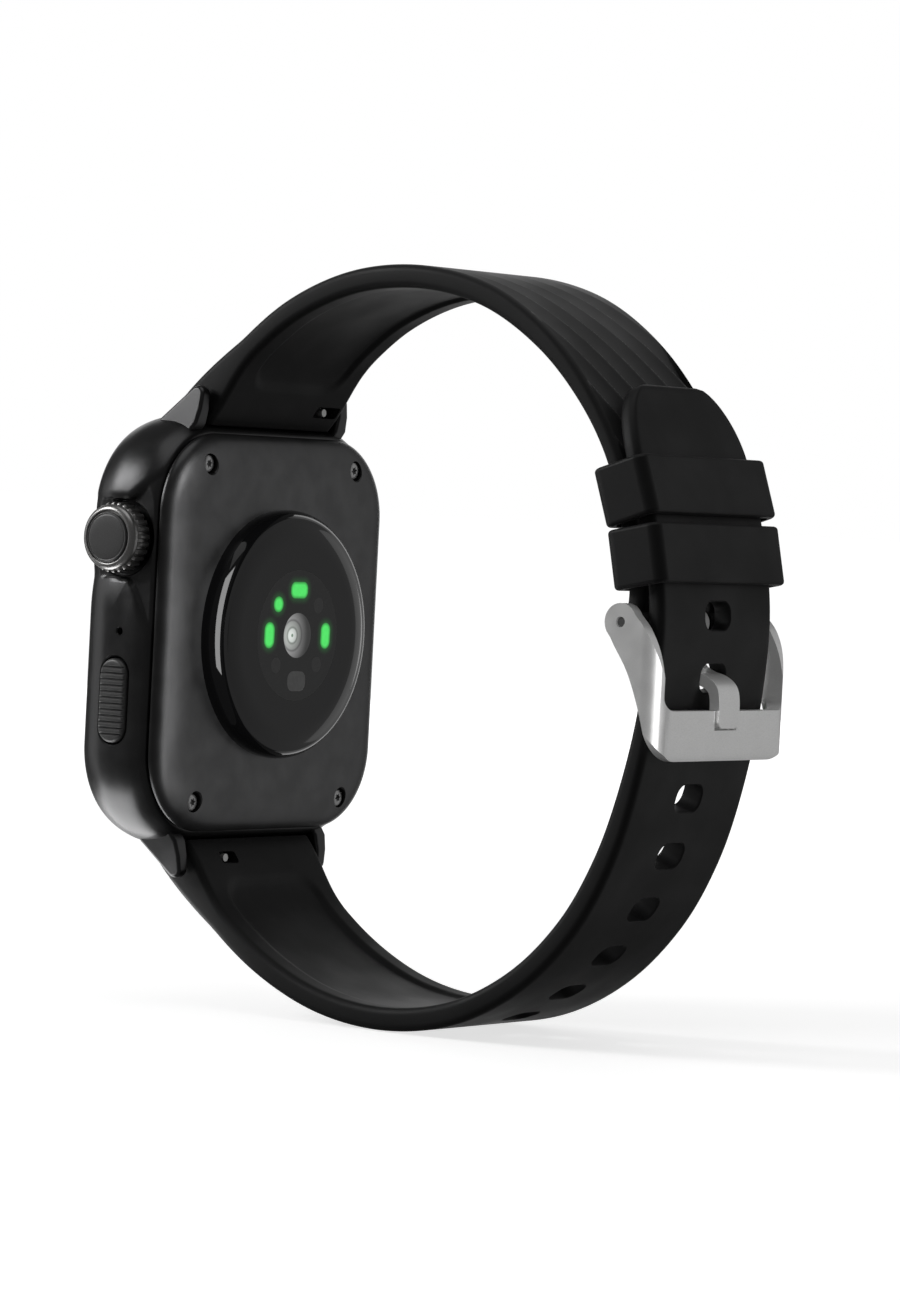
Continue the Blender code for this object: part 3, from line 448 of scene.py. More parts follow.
class Shader:
    """A Principled material with node-building helpers. Its texture space is the object's, in metres."""

    def __init__(self, name, color, roughness, metallic=0.0, specular=0.5):
        self.material = bpy.data.materials.new(name)
        self.material.use_nodes = True
        self.tree = self.material.node_tree
        self.bsdf = self.tree.nodes["Principled BSDF"]
        self.set("Base Color", (*color, 1.0))
        self.set("Roughness", roughness)
        self.set("Metallic", metallic)
        self.set("Specular IOR Level", specular)
        self.place = self.node("ShaderNodeTexCoord").outputs["Object"]

    def set(self, socket, value):
        self.bsdf.inputs[socket].default_value = value

    def node(self, kind, **settings):
        node = self.tree.nodes.new(kind)
        for key, value in settings.items():
            setattr(node, key, value)
        return node

    def link(self, output, target):
        self.tree.links.new(output, target)

    def noise(self, size, detail=3.0, stretch=(1, 1, 1)):
        """Noise with grains about size millimetres across, longer along the stretched axes."""
        mapping = self.node("ShaderNodeMapping")
        mapping.inputs["Scale"].default_value = [1 / s for s in stretch]
        self.link(self.place, mapping.inputs["Vector"])
        noise = self.node("ShaderNodeTexNoise")
        noise.inputs["Scale"].default_value = 1 / (size * MM)
        noise.inputs["Detail"].default_value = detail
        self.link(mapping.outputs["Vector"], noise.inputs["Vector"])
        return noise.outputs["Fac"]

    def remap(self, value, low, high, start=0.35, end=0.65):
        """Spreads a value over a range."""
        node = self.node("ShaderNodeMapRange")
        node.inputs["From Min"].default_value = start
        node.inputs["From Max"].default_value = end
        node.inputs["To Min"].default_value = low
        node.inputs["To Max"].default_value = high
        self.link(value, node.inputs["Value"])
        return node.outputs["Result"]

    def math(self, operation, first, second=0.0):
        """A maths node; each input is a socket or a number."""
        node = self.node("ShaderNodeMath", operation=operation)
        for socket, value in zip(node.inputs, (first, second)):
            if isinstance(value, (int, float)):
                socket.default_value = value
            else:
                self.link(value, socket)
        return node.outputs["Value"]

    def pill_distance(self, pill):
        """The distance outside a pill's outline, in metres: minus its corner radius at its core."""
        centre_y, centre_z, half_y, half_z, radius = [value * MM for value in pill]
        parts = self.node("ShaderNodeSeparateXYZ")
        self.link(self.place, parts.inputs["Vector"])
        squares = []
        for axis, centre, half in (("Y", centre_y, half_y), ("Z", centre_z, half_z)):
            away = self.math("ABSOLUTE", self.math("SUBTRACT", parts.outputs[axis], centre))
            beyond = self.math("MAXIMUM", self.math("SUBTRACT", away, half - radius), 0.0)
            squares.append(self.math("POWER", beyond, 2.0))
        length = self.math("SQRT", self.math("ADD", squares[0], squares[1]))
        return self.math("SUBTRACT", length, radius)

    def bump(self, height, strength, depth):
        """Adds relief of about depth millimetres."""
        node = self.node("ShaderNodeBump")
        node.inputs["Strength"].default_value = strength
        node.inputs["Distance"].default_value = depth * MM
        self.link(height, node.inputs["Height"])
        self.link(node.outputs["Normal"], self.bsdf.inputs["Normal"])

    def vary_color(self, value, dark, light):
        """Mixes two colours by a value between 0 and 1."""
        ramp = self.node("ShaderNodeValToRGB")
        ramp.color_ramp.elements[0].color = (*dark, 1.0)
        ramp.color_ramp.elements[1].color = (*light, 1.0)
        self.link(value, ramp.inputs["Fac"])
        self.link(ramp.outputs["Color"], self.bsdf.inputs["Base Color"])

    def vary_roughness(self, value, low, high):
        self.link(self.remap(value, low, high), self.bsdf.inputs["Roughness"])


def grained(shader, tones, tone_noise, roughness, relief, relief_noise):
    """Varies the colour between two tones and the roughness over a range, and adds relief."""
    shader.vary_color(shader.remap(tone_noise, 0, 1), *tones)
    shader.vary_roughness(tone_noise, *roughness)
    shader.bump(relief_noise, *relief)
    return shader.material


def satin_black():
    """Fine bead-blasted black metal."""
    shader = Shader("satin_black", (0.075, 0.075, 0.076), 0.34, 0.92)
    tones = ((0.07, 0.07, 0.071), (0.08, 0.08, 0.081))
    return grained(shader, tones, shader.noise(3.0), (0.32, 0.37), (0.18, 0.02), shader.noise(0.09, 4.0))


def pale_grey_metal():
    """A paler grey metal for the crown's rim and teeth, lighter than the case's black."""
    shader = Shader("polished_black", (0.4, 0.396, 0.39), 0.3, 0.9)
    grain = shader.noise(0.12)
    shader.vary_color(shader.remap(grain, 0, 1), (0.37, 0.366, 0.36), (0.43, 0.426, 0.42))
    shader.vary_roughness(grain, 0.29, 0.35)
    return shader.material


def crown_face_black():
    """The grained centre of the crown, and the side button."""
    shader = Shader("crown_face", (0.09, 0.09, 0.09), 0.45, 0.5)
    grain = shader.noise(0.1, 4.0)
    return grained(shader, ((0.1, 0.1, 0.1), (0.13, 0.13, 0.13)), grain, (0.36, 0.46), (0.2, 0.02), grain)


def gloss_black(name, color, specular):
    shader = Shader(name, color, 0.05, 0.0, specular)
    wave = shader.noise(6.0, 2.0)
    shader.vary_roughness(wave, 0.035, 0.07)
    shader.bump(wave, 0.02, 0.05)
    return shader.material


def silicone():
    """Matte moulded rubber with a soft bloom."""
    shader = Shader("silicone", (0.012, 0.012, 0.0125), 0.55, 0.0, 0.32)
    shader.set("Sheen Weight", 0.06)
    shader.set("Sheen Roughness", 0.45)
    tones = ((0.0105, 0.0105, 0.011), (0.0135, 0.0135, 0.014))
    return grained(shader, tones, shader.noise(7.0), (0.5, 0.6), (0.22, 0.025), shader.noise(0.11, 5.0))


def brushed_steel(name, stretch, color):
    """Satin steel, brushed along the axis that stretch makes long."""
    shader = Shader(name, color, 0.38, 0.62)
    lines = shader.noise(0.07, 3.0, stretch)
    cloud = shader.noise(2.5, 2.0)
    dark = tuple(c * 0.95 for c in color)
    light = tuple(min(c * 1.03, 1.0) for c in color)
    shader.vary_color(shader.remap(lines, 0, 1), dark, light)
    shader.vary_roughness(cloud, 0.34, 0.42)
    shader.bump(lines, 0.08, 0.008)
    return shader.material


def green_light(name, pill):
    """A lit window that is brightest in its middle and fades at its rim."""
    shader = Shader(f"{name}_light", (0.01, 0.06, 0.015), 0.25)
    grain = shader.remap(shader.noise(0.5, 2.0), 0.92, 1.0)
    rim = shader.remap(shader.pill_distance(pill), 1.0, 0.28, -0.34 * MM, 0.0)
    shader.link(shader.math("MULTIPLY", grain, rim), shader.bsdf.inputs["Emission Strength"])
    shader.set("Emission Color", (0.075, 0.78, 0.13, 1.0))
    return shader.material


def window_with_painted_glow():
    """Dark glass with a painted green glow round the lit windows: emission that stands in for their light in
    the glass.
    """
    shader = Shader("window_tint", (0.05, 0.05, 0.0505), 0.05, 0.0, 0.4)
    shader.vary_roughness(shader.noise(2.0), 0.04, 0.08)
    glow = 0.0
    for name in LIT_OPTICS:
        # Painted glow: emission that fades with the distance from each lit window.
        painted_halo = shader.remap(shader.pill_distance(pill_of(name)), 0.16, 0.0, 0.0, 0.75 * MM)
        glow = shader.math("ADD", glow, shader.math("POWER", painted_halo, 1.6))
    shader.link(glow, shader.bsdf.inputs["Emission Strength"])
    shader.set("Emission Color", (0.1, 1.0, 0.2, 1.0))
    return shader.material


def dim_optic(name, tone):
    """An unlit window, a little paler than the glass round it."""
    shader = Shader(name, (tone, tone, tone), 0.06, 0.0, 0.4)
    grain = shader.noise(0.5, 2.0)
    shader.vary_color(shader.remap(grain, 0, 1), (tone * 0.92,) * 3, (tone * 1.08,) * 3)
    shader.vary_roughness(grain, 0.05, 0.09)
    return shader.material


def lens_with_painted_light(centre):
    """A clear lens painted with light: pale emission in rings round its middle stands in for its
    reflections, and a painted highlight makes its crown side brighter.
    """
    shader = Shader("lens_with_painted_light", (0.08, 0.08, 0.08), 0.1, 0.0, 0.5)
    away = shader.node("ShaderNodeVectorMath", operation="DISTANCE")
    away.inputs[1].default_value = [c * MM for c in centre]
    shader.link(shader.place, away.inputs[0])
    ramp = shader.node("ShaderNodeValToRGB")
    elements = ramp.color_ramp.elements
    for element, (position, *color) in zip(elements, (LENS_PAINTED_RINGS[0], LENS_PAINTED_RINGS[-1])):
        element.position = position
        element.color = (*color, 1.0)
    for position, *color in LENS_PAINTED_RINGS[1:-1]:
        elements.new(position).color = (*color, 1.0)
    shader.link(shader.remap(away.outputs["Value"], 0.0, 1.0, 0.0, LENS_SPAN * MM), ramp.inputs["Fac"])
    shader.link(ramp.outputs["Color"], shader.bsdf.inputs["Emission Color"])
    parts = shader.node("ShaderNodeSeparateXYZ")
    shader.link(shader.place, parts.inputs["Vector"])
    # Painted highlight: the emission grows stronger towards the crown side (-Y).
    side = shader.remap(parts.outputs["Y"], 1.15, 0.2, -1.9 * MM, 1.6 * MM)
    shader.link(side, shader.bsdf.inputs["Emission Strength"])
    return shader.material


def plain(name, color, roughness, metallic=0.0, grain_size=0.2):
    """A simple moulded or plated finish for the pieces inside the case."""
    shader = Shader(name, color, roughness, metallic)
    grain = shader.noise(grain_size)
    tones = (tuple(c * 0.85 for c in color), tuple(c * 1.1 for c in color))
    return grained(shader, tones, grain, (roughness * 0.85, roughness * 1.15), (0.2, 0.02), grain)


CASE = satin_black()
GRIP = pale_grey_metal()
CROWN_FACE = crown_face_black()
DOME = gloss_black("sensor_gloss", (0.0015, 0.0015, 0.0016), 0.4)
SCREEN = gloss_black("screen_gloss", (0.004, 0.004, 0.005), 0.5)
WINDOW = window_with_painted_glow()
SILICONE = silicone()
STEEL = brushed_steel("buckle_steel", (1, 4, 1), (0.85, 0.85, 0.845))
PIN_STEEL = brushed_steel("pin_steel", (1, 1, 1), (0.2, 0.2, 0.2))
SCREW_STEEL = brushed_steel("screw_steel", (1, 1, 1), (0.6, 0.6, 0.6))
BRIGHT = brushed_steel("bright_steel", (1, 8, 1), (0.7, 0.7, 0.69))
GREEN = green_light("green", pill_of(LIT_OPTICS[0]))
DIM = dim_optic("dim_optic", 0.1)
PALE_OPTIC = dim_optic("pale_optic", 0.3)
LENS = lens_with_painted_light(LENS_MIDDLE)
SEAL = plain("seal_rubber", (0.02, 0.02, 0.02), 0.7)
BOARD = plain("circuit_board", (0.01, 0.09, 0.03), 0.45)
POUCH = plain("battery_pouch", (0.4, 0.41, 0.43), 0.35, 0.8, 0.6)
DARK = plain("dark_plastic", (0.03, 0.03, 0.03), 0.5)

CARRIED = {
    "seal_rubber": SEAL, "circuit_board": BOARD, "battery_pouch": POUCH, "dark_plastic": DARK,
    "bright_steel": BRIGHT, "buckle_steel": STEEL, "green_light": GREEN, "dim_optic": DIM,
    "sensor_lens": LENS, "sensor_glass": DOME, "sensor_window": WINDOW, "front_glass": SCREEN,
    "case_black": CASE, "silicone": SILICONE,
}


def dress_cad():
    """Gives every CAD node a full material, by its slot in the record."""
    for entry in frame["record"]["subparts"]:
        materials = frame["nodes"][entry["node"]].data.materials
        materials.clear()
        materials.append(CARRIED[entry["material_slot"]])


def stand_for(obj, body, slot, *nodes):
    """Puts a finished piece on its body, in place of CAD nodes."""
    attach(obj, body)
    if nodes:
        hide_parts(*nodes)
    return obj


# ---- case frame


def section_at(x):
    """Half width, half height and corner radius of the frame at x, smoothly between the sections."""
    rows = FRAME_SECTIONS
    i = next(k for k in range(len(rows) - 1) if rows[k + 1][0] <= x + 1e-9)
    a, b, c, d = rows[max(i - 1, 0)], rows[i], rows[i + 1], rows[min(i + 2, len(rows) - 1)]
    t = (b[0] - x) / (b[0] - c[0])
    values = []
    for k in (1, 2, 3):
        before = (c[k] - a[k]) / (a[0] - c[0]) if a is not b else (c[k] - b[k]) / (b[0] - c[0])
        after = (d[k] - b[k]) / (b[0] - d[0]) if d is not c else (c[k] - b[k]) / (b[0] - c[0])
        span = b[0] - c[0]
        values.append(hermite(t, b[k], c[k], before * span, after * span))
    return values


def inside_pocket(x, z):
    """The distance inside the crown pocket's outline; negative outside it."""
    nearest = 99.0
    point = Vector((x, z))
    inside = False
    count = len(POCKET)
    for i in range(count):
        a, b = Vector(POCKET[i]), Vector(POCKET[(i + 1) % count])
        share = min(max((point - a).dot(b - a) / (b - a).length_squared, 0.0), 1.0)
        nearest = min(nearest, (point - a - (b - a) * share).length)
        if (a[1] > z) != (b[1] > z) and x < a[0] + (z - a[1]) / (b[1] - a[1]) * (b[0] - a[0]):
            inside = not inside
    return nearest if inside else -nearest


def shape_flank(x, y, z):
    """Sinks the flank to the crown pocket's floor, with rounded edges and a long rounded guard below it."""
    if y > FLANK_INNER_Y:
        return y
    depth = inside_pocket(x, z)
    guard = smooth_step((GUARD_X - x) / GUARD_FADE_X) * smooth_step((GUARD_Z - z) / GUARD_FADE_Z)
    reach_out = POCKET_REACH + GUARD_REACH * guard
    drop = POCKET_DROP + GUARD_DROP * guard
    if depth > -reach_out:
        y += drop * (1 + min(depth, 0.0) / reach_out) ** 2
    if y < POCKET_Y:
        share = smooth_step((depth + POCKET_FILLET * 0.3) / POCKET_FILLET)
        y += (POCKET_Y - y) * share
    return y


def frame_outline(half_w, half_h, radius):
    """One dense loop of the frame, densest on the crown's flank. u is Y and v is Z."""
    return rounded_outline(half_w, half_h, radius, steps=64, sides=(24, 120, 24, 24))


def case_frame():
    """The frame's shell, with the crown's bore, the button's slot, the microphone port and three slots."""
    loops = []
    rows = 96
    start, end = FRAME_SECTIONS[0][0], FRAME_SECTIONS[-1][0]
    for row in range(rows + 1):
        x = start + (end - start) * row / rows
        half_w, half_h, radius = section_at(x)
        chamfer = max(0.0, FRAME_CHAMFER_BACK - (start - x)) + max(0.0, FRAME_CHAMFER_FRONT - (x - end))
        outline = frame_outline(half_w - chamfer, half_h - chamfer, radius - chamfer)
        loops.append([(x, shape_flank(x, y, z), z) for y, z in outline])
    loops += [on_plane(frame_outline(w, h, r), "X", x) for x, w, h, r in HOLLOW_SECTIONS]
    obj = new_object("case_frame_shell", loft(loops, ring=True), (CASE,))
    crown, button = (CROWN_X, CROWN_Z), (BUTTON_X, BUTTON_Z)
    mouth_r = CROWN_BORE_R + 0.15
    bore = (
        (-22.0, mouth_r), (POCKET_Y - 0.02, mouth_r), (POCKET_Y + 0.14, CROWN_BORE_R),
        (CROWN_BORE_END_Y, CROWN_BORE_R),
    )
    slot_mouth = []
    for y, wider in ((-21.5, 0.16), (-19.93, 0.16), (-19.78, 0.0), (-18.1, 0.0)):
        half_x, half_z = BUTTON_SLOT_X + wider, BUTTON_SLOT_Z + wider
        slot_mouth.append(on_plane(rounded_outline(half_x, half_z, half_x, button), "Y", y))
    mic_port = ((-21.0, 0.46), (-19.93, 0.46), (-19.8, 0.36), (-16.0, 0.36))
    holes = [turned(bore, "Y", crown), loft(slot_mouth), turned(mic_port, "Y", (MIC_X, MIC_Z), 24)]
    for z in (-6.0, -2.0, 2.0):
        mouth = rounded_outline(0.5, 1.5, 0.5, (-8.7, z))
        holes.append(prism(mouth, "Y", 16.0, 21.0))
    carve(obj, merged(holes))
    crown_stem_hole = turned(((-18.5, 2.2), (-16.0, 2.2)), "Y", crown, 32)
    button_stem_hole = turned(((-18.5, 0.8), (-16.0, 0.8)), "Y", button, 24)
    carve(obj, merged([crown_stem_hole, button_stem_hole]))
    stand_for(obj, "watch", "case_black", "case_frame")


def lug_outline(side):
    """Side view (x, z) of a lug: a straight outer slope, a rounded tip and a short step to the case."""
    slope = ((-10.8, 19.8), (-10.4, 21.4), (-9.6, 22.5))
    back = ((-4.4, 23.6), (-4.75, 22.0), (-5.3, 21.3), (-5.6, 19.8))
    return [(x, side * z) for x, z in (*slope, *arc(LUG_TIP, LUG_TIP_R, 125, 0, 8), *back)]


def lugs():
    """Four lugs whose outer sides lean in towards their tips, each with a blind hole for the spring bar."""
    for name, side, flank in (
        ("lug_upper_crown_side", 1, -1), ("lug_upper_far_side", 1, 1),
        ("lug_lower_crown_side", -1, -1), ("lug_lower_far_side", -1, 1),
    ):
        outline = lug_outline(side)
        outer = [(x, flank * (LUG_OUT_Y - LUG_TAPER * (abs(z) - 20.0)), z) for x, z in outline]
        obj = new_object(name, loft([on_plane(outline, "Y", flank * LUG_IN_Y), outer]), (CASE,))
        soften(obj, 0.38, 4)
        pin_hole = turned(((flank * 11.0, 0.5), (flank * 12.2, 0.5)), "Y", (BAR_X, side * BAR_Z), 24)
        carve(obj, pin_hole)
        stand_for(obj, "watch", "case_black")


def back_cover():
    """A cover with a broad rounded edge, a bore for the sensor and four recesses for the screws."""
    rows = [(-5.6, 2.7), (-4.62, 2.7), (-4.5, 0.14), (-4.4, 0.03), (COVER_EDGE_X, 0.0)]
    depth = COVER_BACK_X - COVER_EDGE_X
    for step in range(1, 25):
        turn = math.radians(90 * step / 24)
        x = COVER_BACK_X - depth * (1 - math.sin(turn))
        rows.append((x, COVER_ROUND_W * (1 - math.cos(turn) ** 0.92)))
    rows.append((COVER_BACK_X, COVER_ROUND_W + 0.6))
    shapes = []
    for x, inset in rows:
        sizes = (COVER_W - inset, COVER_H - inset, COVER_CORNER - inset)
        shapes.append(on_plane(rounded_outline(*sizes, steps=24, sides=(12, 12, 12, 12)), "X", x))
    obj = new_object("back_cover_shell", loft(shapes), (CASE,))
    carve(obj, turned(((-6.5, COVER_BORE_R), (-1.0, COVER_BORE_R)), "X", steps=96))
    recess = ((-4.15, 1.08), (COVER_BACK_X - 0.16, 1.08), (COVER_BACK_X - 0.02, 1.22), (-1.0, 1.22))
    places = [middle(f"case_screw_{name}") for name in SCREWS]
    carve(obj, merged([turned(recess, "X", (p[1], p[2]), 32) for p in places]))
    weigh(obj)
    return stand_for(obj, "watch", "case_black", "back_cover")


def screws():
    """Small domed heads with a star recess, deep in their holes."""
    for name in SCREWS:
        node = f"case_screw_{name}"
        place = middle(node)
        centre = (place[1], place[2])
        obj = new_object(f"{node}_head", turned(SCREW_PROFILE, "X", centre, 32), (SCREW_STEEL,))
        star = []
        for point in range(12):
            radius = 0.5 if point % 2 == 0 else 0.3
            angle = math.radians(30 * point + 12)
            star.append((centre[0] + radius * math.cos(angle), centre[1] + radius * math.sin(angle)))
        carve(obj, prism(star, "X", -3.45, -2.7))
        stand_for(obj, "watch", "case_black", node)


def front_glass():
    """A flat glass with rounded edges, in the front of the frame."""
    loops = []
    for step in range(13):
        turn = math.radians(90 * step / 12)
        half_w = GLASS_HALF_W - GLASS_ROUND * (1 - math.cos(turn))
        sizes = (half_w, half_w + GLASS_EXTRA_H, half_w - GLASS_CORNER_CUT)
        x = GLASS_FRONT_X + GLASS_DEPTH * (1 - math.sin(turn))
        loops.append(on_plane(rounded_outline(*sizes, steps=24, sides=(8, 8, 8, 8)), "X", x))
    obj = new_object("front_glass_panel", loft(loops), (SCREEN,))
    weigh(obj)
    stand_for(obj, "watch", "front_glass", "front_glass")


# ---- sensor


def sensor():
    """The dome glass, and in its middle the tinted window with the lens and the lit and unlit windows."""
    profile = [(-2.6, 13.3), (-2.2, 13.32)]
    for angle in range(0, 86, 5):
        turn = math.radians(angle)
        profile.append((-1.95 + 1.65 * math.sin(turn), 12.15 + 1.17 * math.cos(turn)))
    for step in range(9):
        share = 1 - step / 8
        radius = DOME_FLAT_R + (DOME_SHOULDER_R - DOME_FLAT_R) * share
        profile.append((-DOME_ROLL * share**DOME_ROLL_POWER, radius))
    profile += [(0.0, WINDOW_R), (WINDOW_BACK_X, WINDOW_R), (WINDOW_BACK_X, WINDOW_R - 2.0)]
    dome = new_object("sensor_dome_glass", turned(profile, "X", steps=160), (DOME,), 50)
    weigh(dome)
    stand_for(dome, "watch", "sensor_glass", "sensor_dome")
    disc_r = WINDOW_R - OPTIC_GAP
    window = turned(((WINDOW_BACK_X, disc_r), (0.0, disc_r)), "X", steps=160)
    disc = new_object("sensor_window_disc", window, (WINDOW,), 50)
    port_r = LENS_R + OPTIC_GAP
    ports = [turned(((LENS_BACK_X, port_r), (1.0, port_r)), "X", steps=96)]
    for name in (*LIT_OPTICS, *DIM_OPTICS):
        centre_y, centre_z, half_y, half_z, radius = pill_of(name)
        centre = (centre_y, centre_z)
        port = rounded_outline(half_y + OPTIC_GAP, half_z + OPTIC_GAP, radius + OPTIC_GAP, centre)
        ports.append(prism(port, "X", LENS_BACK_X, 1.0))
        pill = prism(rounded_outline(half_y, half_z, radius, centre), "X", OPTIC_BACK_X, OPTIC_FACE_X)
        lit = name in LIT_OPTICS
        unlit = PALE_OPTIC if name in SQUARE_OPTICS else DIM
        material = green_light(name, pill_of(name)) if lit else unlit
        obj = new_object(f"{name}_window", pill, (material,))
        stand_for(obj, "watch", "green_light" if lit else "dim_optic", name)
    carve(disc, merged(ports))
    stand_for(disc, "watch", "sensor_window", "sensor_window")
    bead = turned(((LENS_BACK_X, LENS_R), (LENS_X, LENS_R)), "X", steps=96)
    lens = new_object("sensor_lens_disc", bead, (LENS,), 60)
    stand_for(lens, "watch", "sensor_lens", "sensor_lens")
    return dome


# ---- crown and button


def crown_turned(profile, steps=96):
    """A solid of revolution about the crown's axis; the profile's places count from the crown's face."""
    return turned([(CROWN_FACE_Y + at, radius) for at, radius in profile], "Y", (CROWN_X, CROWN_Z), steps)


def crown():
    """The crown: a rounded rim round a shallow face, a toothed grip behind it, and a neck in the bore."""
    rim = (
        (1.0, 3.45), (0.62, 3.45), (0.45, 3.38), (0.27, 3.2), (0.17, 3.0), (0.14, 2.86), (0.17, 2.8),
        (0.34, 2.76), (0.34, 2.3),
    )
    ring = new_object("crown_rim", crown_turned(rim), (GRIP,), 40)
    stand_for(ring, "crown", "case_black", "crown_cap")
    face = (
        (0.4, 2.62), (0.14, 2.62), (0.06, 2.58), (0.02, 2.5), (0.05, 2.42), (0.07, 2.38), (0.05, 2.34),
        (0.03, 2.2), (0.01, 1.4), (0.0, 0.5),
    )
    disc = new_object("crown_face_disc", crown_turned(face), (CROWN_FACE,), 50)
    stand_for(disc, "crown", "case_black")
    loops = []
    for at, height in ((2.8, 0.0), (2.65, 1.0), (1.2, 1.0), (1.08, 0.6), (1.0, 0.0)):
        tip, root = TOOTH_R + TOOTH_RISE * height, ROOT_R + ROOT_RISE * height
        loops.append(gear_loop(CROWN_FACE_Y + at, tip, root))
    grip = new_object("crown_grip", loft(loops), (GRIP,), 25)
    carve(grip, crown_turned(((-0.5, 2.6), (4.0, 2.6)), 64))
    stand_for(grip, "crown", "case_black", "crown_gear_ring")
    neck = crown_turned(((2.5, 3.15), (3.45, 3.15), (3.55, 3.05)), 64)
    stand_for(new_object("crown_neck", neck, (SEAL,)), "crown", "case_black")


def gear_loop(at, tip, root):
    """One toothed loop of the crown's grip."""
    edge = tip - 0.05
    tooth_rows = ((0.0, edge), (0.1, tip), (0.4, tip), (0.5, edge), (0.6, root), (0.9, root))
    points = []
    for tooth in range(CROWN_TEETH):
        for share, radius in tooth_rows:
            angle = 2 * math.pi * (tooth + share) / CROWN_TEETH
            points.append((CROWN_X + radius * math.cos(angle), CROWN_Z + radius * math.sin(angle)))
    return on_plane(points, "Y", at)


def side_button():
    """A rounded pill with V grooves across it."""
    centre = (BUTTON_X, BUTTON_Z)
    low, high = reach("side_button")
    half_x, half_z = (high[0] - low[0]) / 2, (high[2] - low[2]) / 2
    body = pillow(half_x, half_z, half_x - 0.05, "Y", centre, -18.5, BUTTON_FACE_Y, 0.42)
    obj = new_object("side_button_cap", body, (CROWN_FACE,))
    outside = BUTTON_FACE_Y - 0.5
    grooves = []
    for number in range(GROOVES):
        z = BUTTON_Z + (number - (GROOVES - 1) / 2) * GROOVE_PITCH
        outline = [
            (BUTTON_FACE_Y + GROOVE_DEPTH, z), (outside, z + GROOVE_HALF_W), (outside, z - GROOVE_HALF_W),
        ]
        grooves.append(prism(outline, "X", BUTTON_X - 3, BUTTON_X + 3))
    carve(obj, merged(grooves))
    soften(obj, 0.05, 2, 25)
    stand_for(obj, "side_button", "case_black", "side_button")


# ---- strap


def strap_size(path, length):
    """Half width and half thickness along one half of the strap."""
    share = length / path.total
    half_w = (STRAP_LUG_W + (STRAP_END_W - STRAP_LUG_W) * smooth_step(share * 1.6)) / 2
    swell = 1 - smooth_step((length - 4.0) / 10.0)
    thin = smooth_step((share - 0.55) / 0.25)
    thickness = STRAP_T + (STRAP_LUG_T - STRAP_T) * swell + (STRAP_END_T - STRAP_T) * thin
    return half_w, thickness / 2


def strap_section(half_t, half_w, across):
    """Dense (distance out, y) loop: up the outer face, round, and back along the inner face."""
    radius = min(STRAP_EDGE_R, half_t * 0.8)
    return rounded_outline(half_t, half_w, radius, steps=6, sides=(1, across, 1, across))


def panel_sink(length, y, half_w):
    """How far the inner face sinks: a wide shallow panel with a rounded start."""
    past_start = max(PANEL_CORNER - (length - PANEL_FROM), 0.0)
    past_side = max(abs(y) - (half_w - PANEL_RIM - PANEL_CORNER), 0.0)
    edge = PANEL_CORNER - math.hypot(past_start, past_side)
    fade = 1 - smooth_step((length - PANEL_FADE) / PANEL_FADE_OVER)
    return PANEL_DEPTH * smooth_step(edge / PANEL_EDGE) * fade


def ridge_rise(length, y):
    """The outer face's slanting shallow steps: each rises gently to a crest and drops sharply past it."""
    if length < RIDGE_FROM:
        return 0.0
    away = length - RIDGE_MID
    shifted = y + RIDGE_SHIFT - RIDGE_SLANT * away - RIDGE_CURL * away**2
    place = shifted / RIDGE_PITCH + RIDGE_DROP / 2
    if place > RIDGE_LAST + 1:
        return 0.0
    part = place % 1.0
    if part < RIDGE_DROP:
        fall = smooth_step(part / RIDGE_DROP)
    else:
        fall = 1 - ((part - RIDGE_DROP) / (1 - RIDGE_DROP)) ** RIDGE_POWER
    fade_in = smooth_step((length - RIDGE_FROM) / RIDGE_FADE_IN)
    fade_out = 1 - smooth_step((length - RIDGE_TO) / RIDGE_FADE_OUT)
    return -RIDGE_DEPTH * fall * (fade_in * fade_out)


def strap_solid(name, path, stations, tip_length, ridged, across):
    """A strap half swept along its path, with its relief in the mesh."""
    lengths = [path.total * k / stations for k in range(stations + 1)]
    if tip_length:
        lengths = [s for s in lengths if s < path.total - tip_length]
        lengths += [path.total - tip_length * math.cos(math.radians(90 * k / 30)) for k in range(30)]
        lengths += [path.total - d for d in (0.16, 0.1, 0.05, 0.015)]
    loops = []
    for length in lengths:
        half_w, half_t = strap_size(path, length)
        from_tip = path.total - length
        if from_tip < tip_length:
            curve = math.sqrt(max(1 - (1 - from_tip / tip_length) ** 2, 0.0))
            rounding = math.sqrt(1 - (1 - min(from_tip / TIP_EDGE, 1.0)) ** 2)
            half_w *= TIP_BLUNT + (1 - TIP_BLUNT) * curve
            half_t *= 0.25 + 0.75 * rounding
            half_w -= TIP_EDGE * (1 - rounding)
        point, _, normal = path.frame(length)
        loop = []
        for out, y in strap_section(half_t, half_w, across):
            if out < -half_t + 1e-6:
                out += panel_sink(length, y, half_w)
            if ridged and out > half_t - 1e-6:
                out += ridge_rise(length, y)
            loop.append((point[0] + normal[0] * out, y, point[1] + normal[1] * out))
        loops.append(loop)
    return new_object(name, loft(loops), (SILICONE,), 60)


def fit_to_case(obj, side, from_y, to_y):
    """Cuts a strap half for the case, for its spring bar and for the lever's slot between two Y."""
    shapes = []
    for x, *sizes in FRAME_SECTIONS:
        shapes.append(on_plane(rounded_outline(*(size + CASE_GAP for size in sizes)), "X", x))
    carve(obj, loft(shapes))
    carve(obj, rod(13.0, BAR_HOLE_R, (BAR_X, side * BAR_Z)))
    slot = rounded_outline((to_y - from_y) / 2, 0.6, 0.35, ((from_y + to_y) / 2, side * BAR_Z), 4)
    carve(obj, prism(slot, "X", BAR_X, BAR_X + 6.0))


def rod(half_length, radius, place):
    """A round rod along Y, centred on Y = 0."""
    return turned(((-half_length, radius), (half_length, radius)), "Y", place, 32)


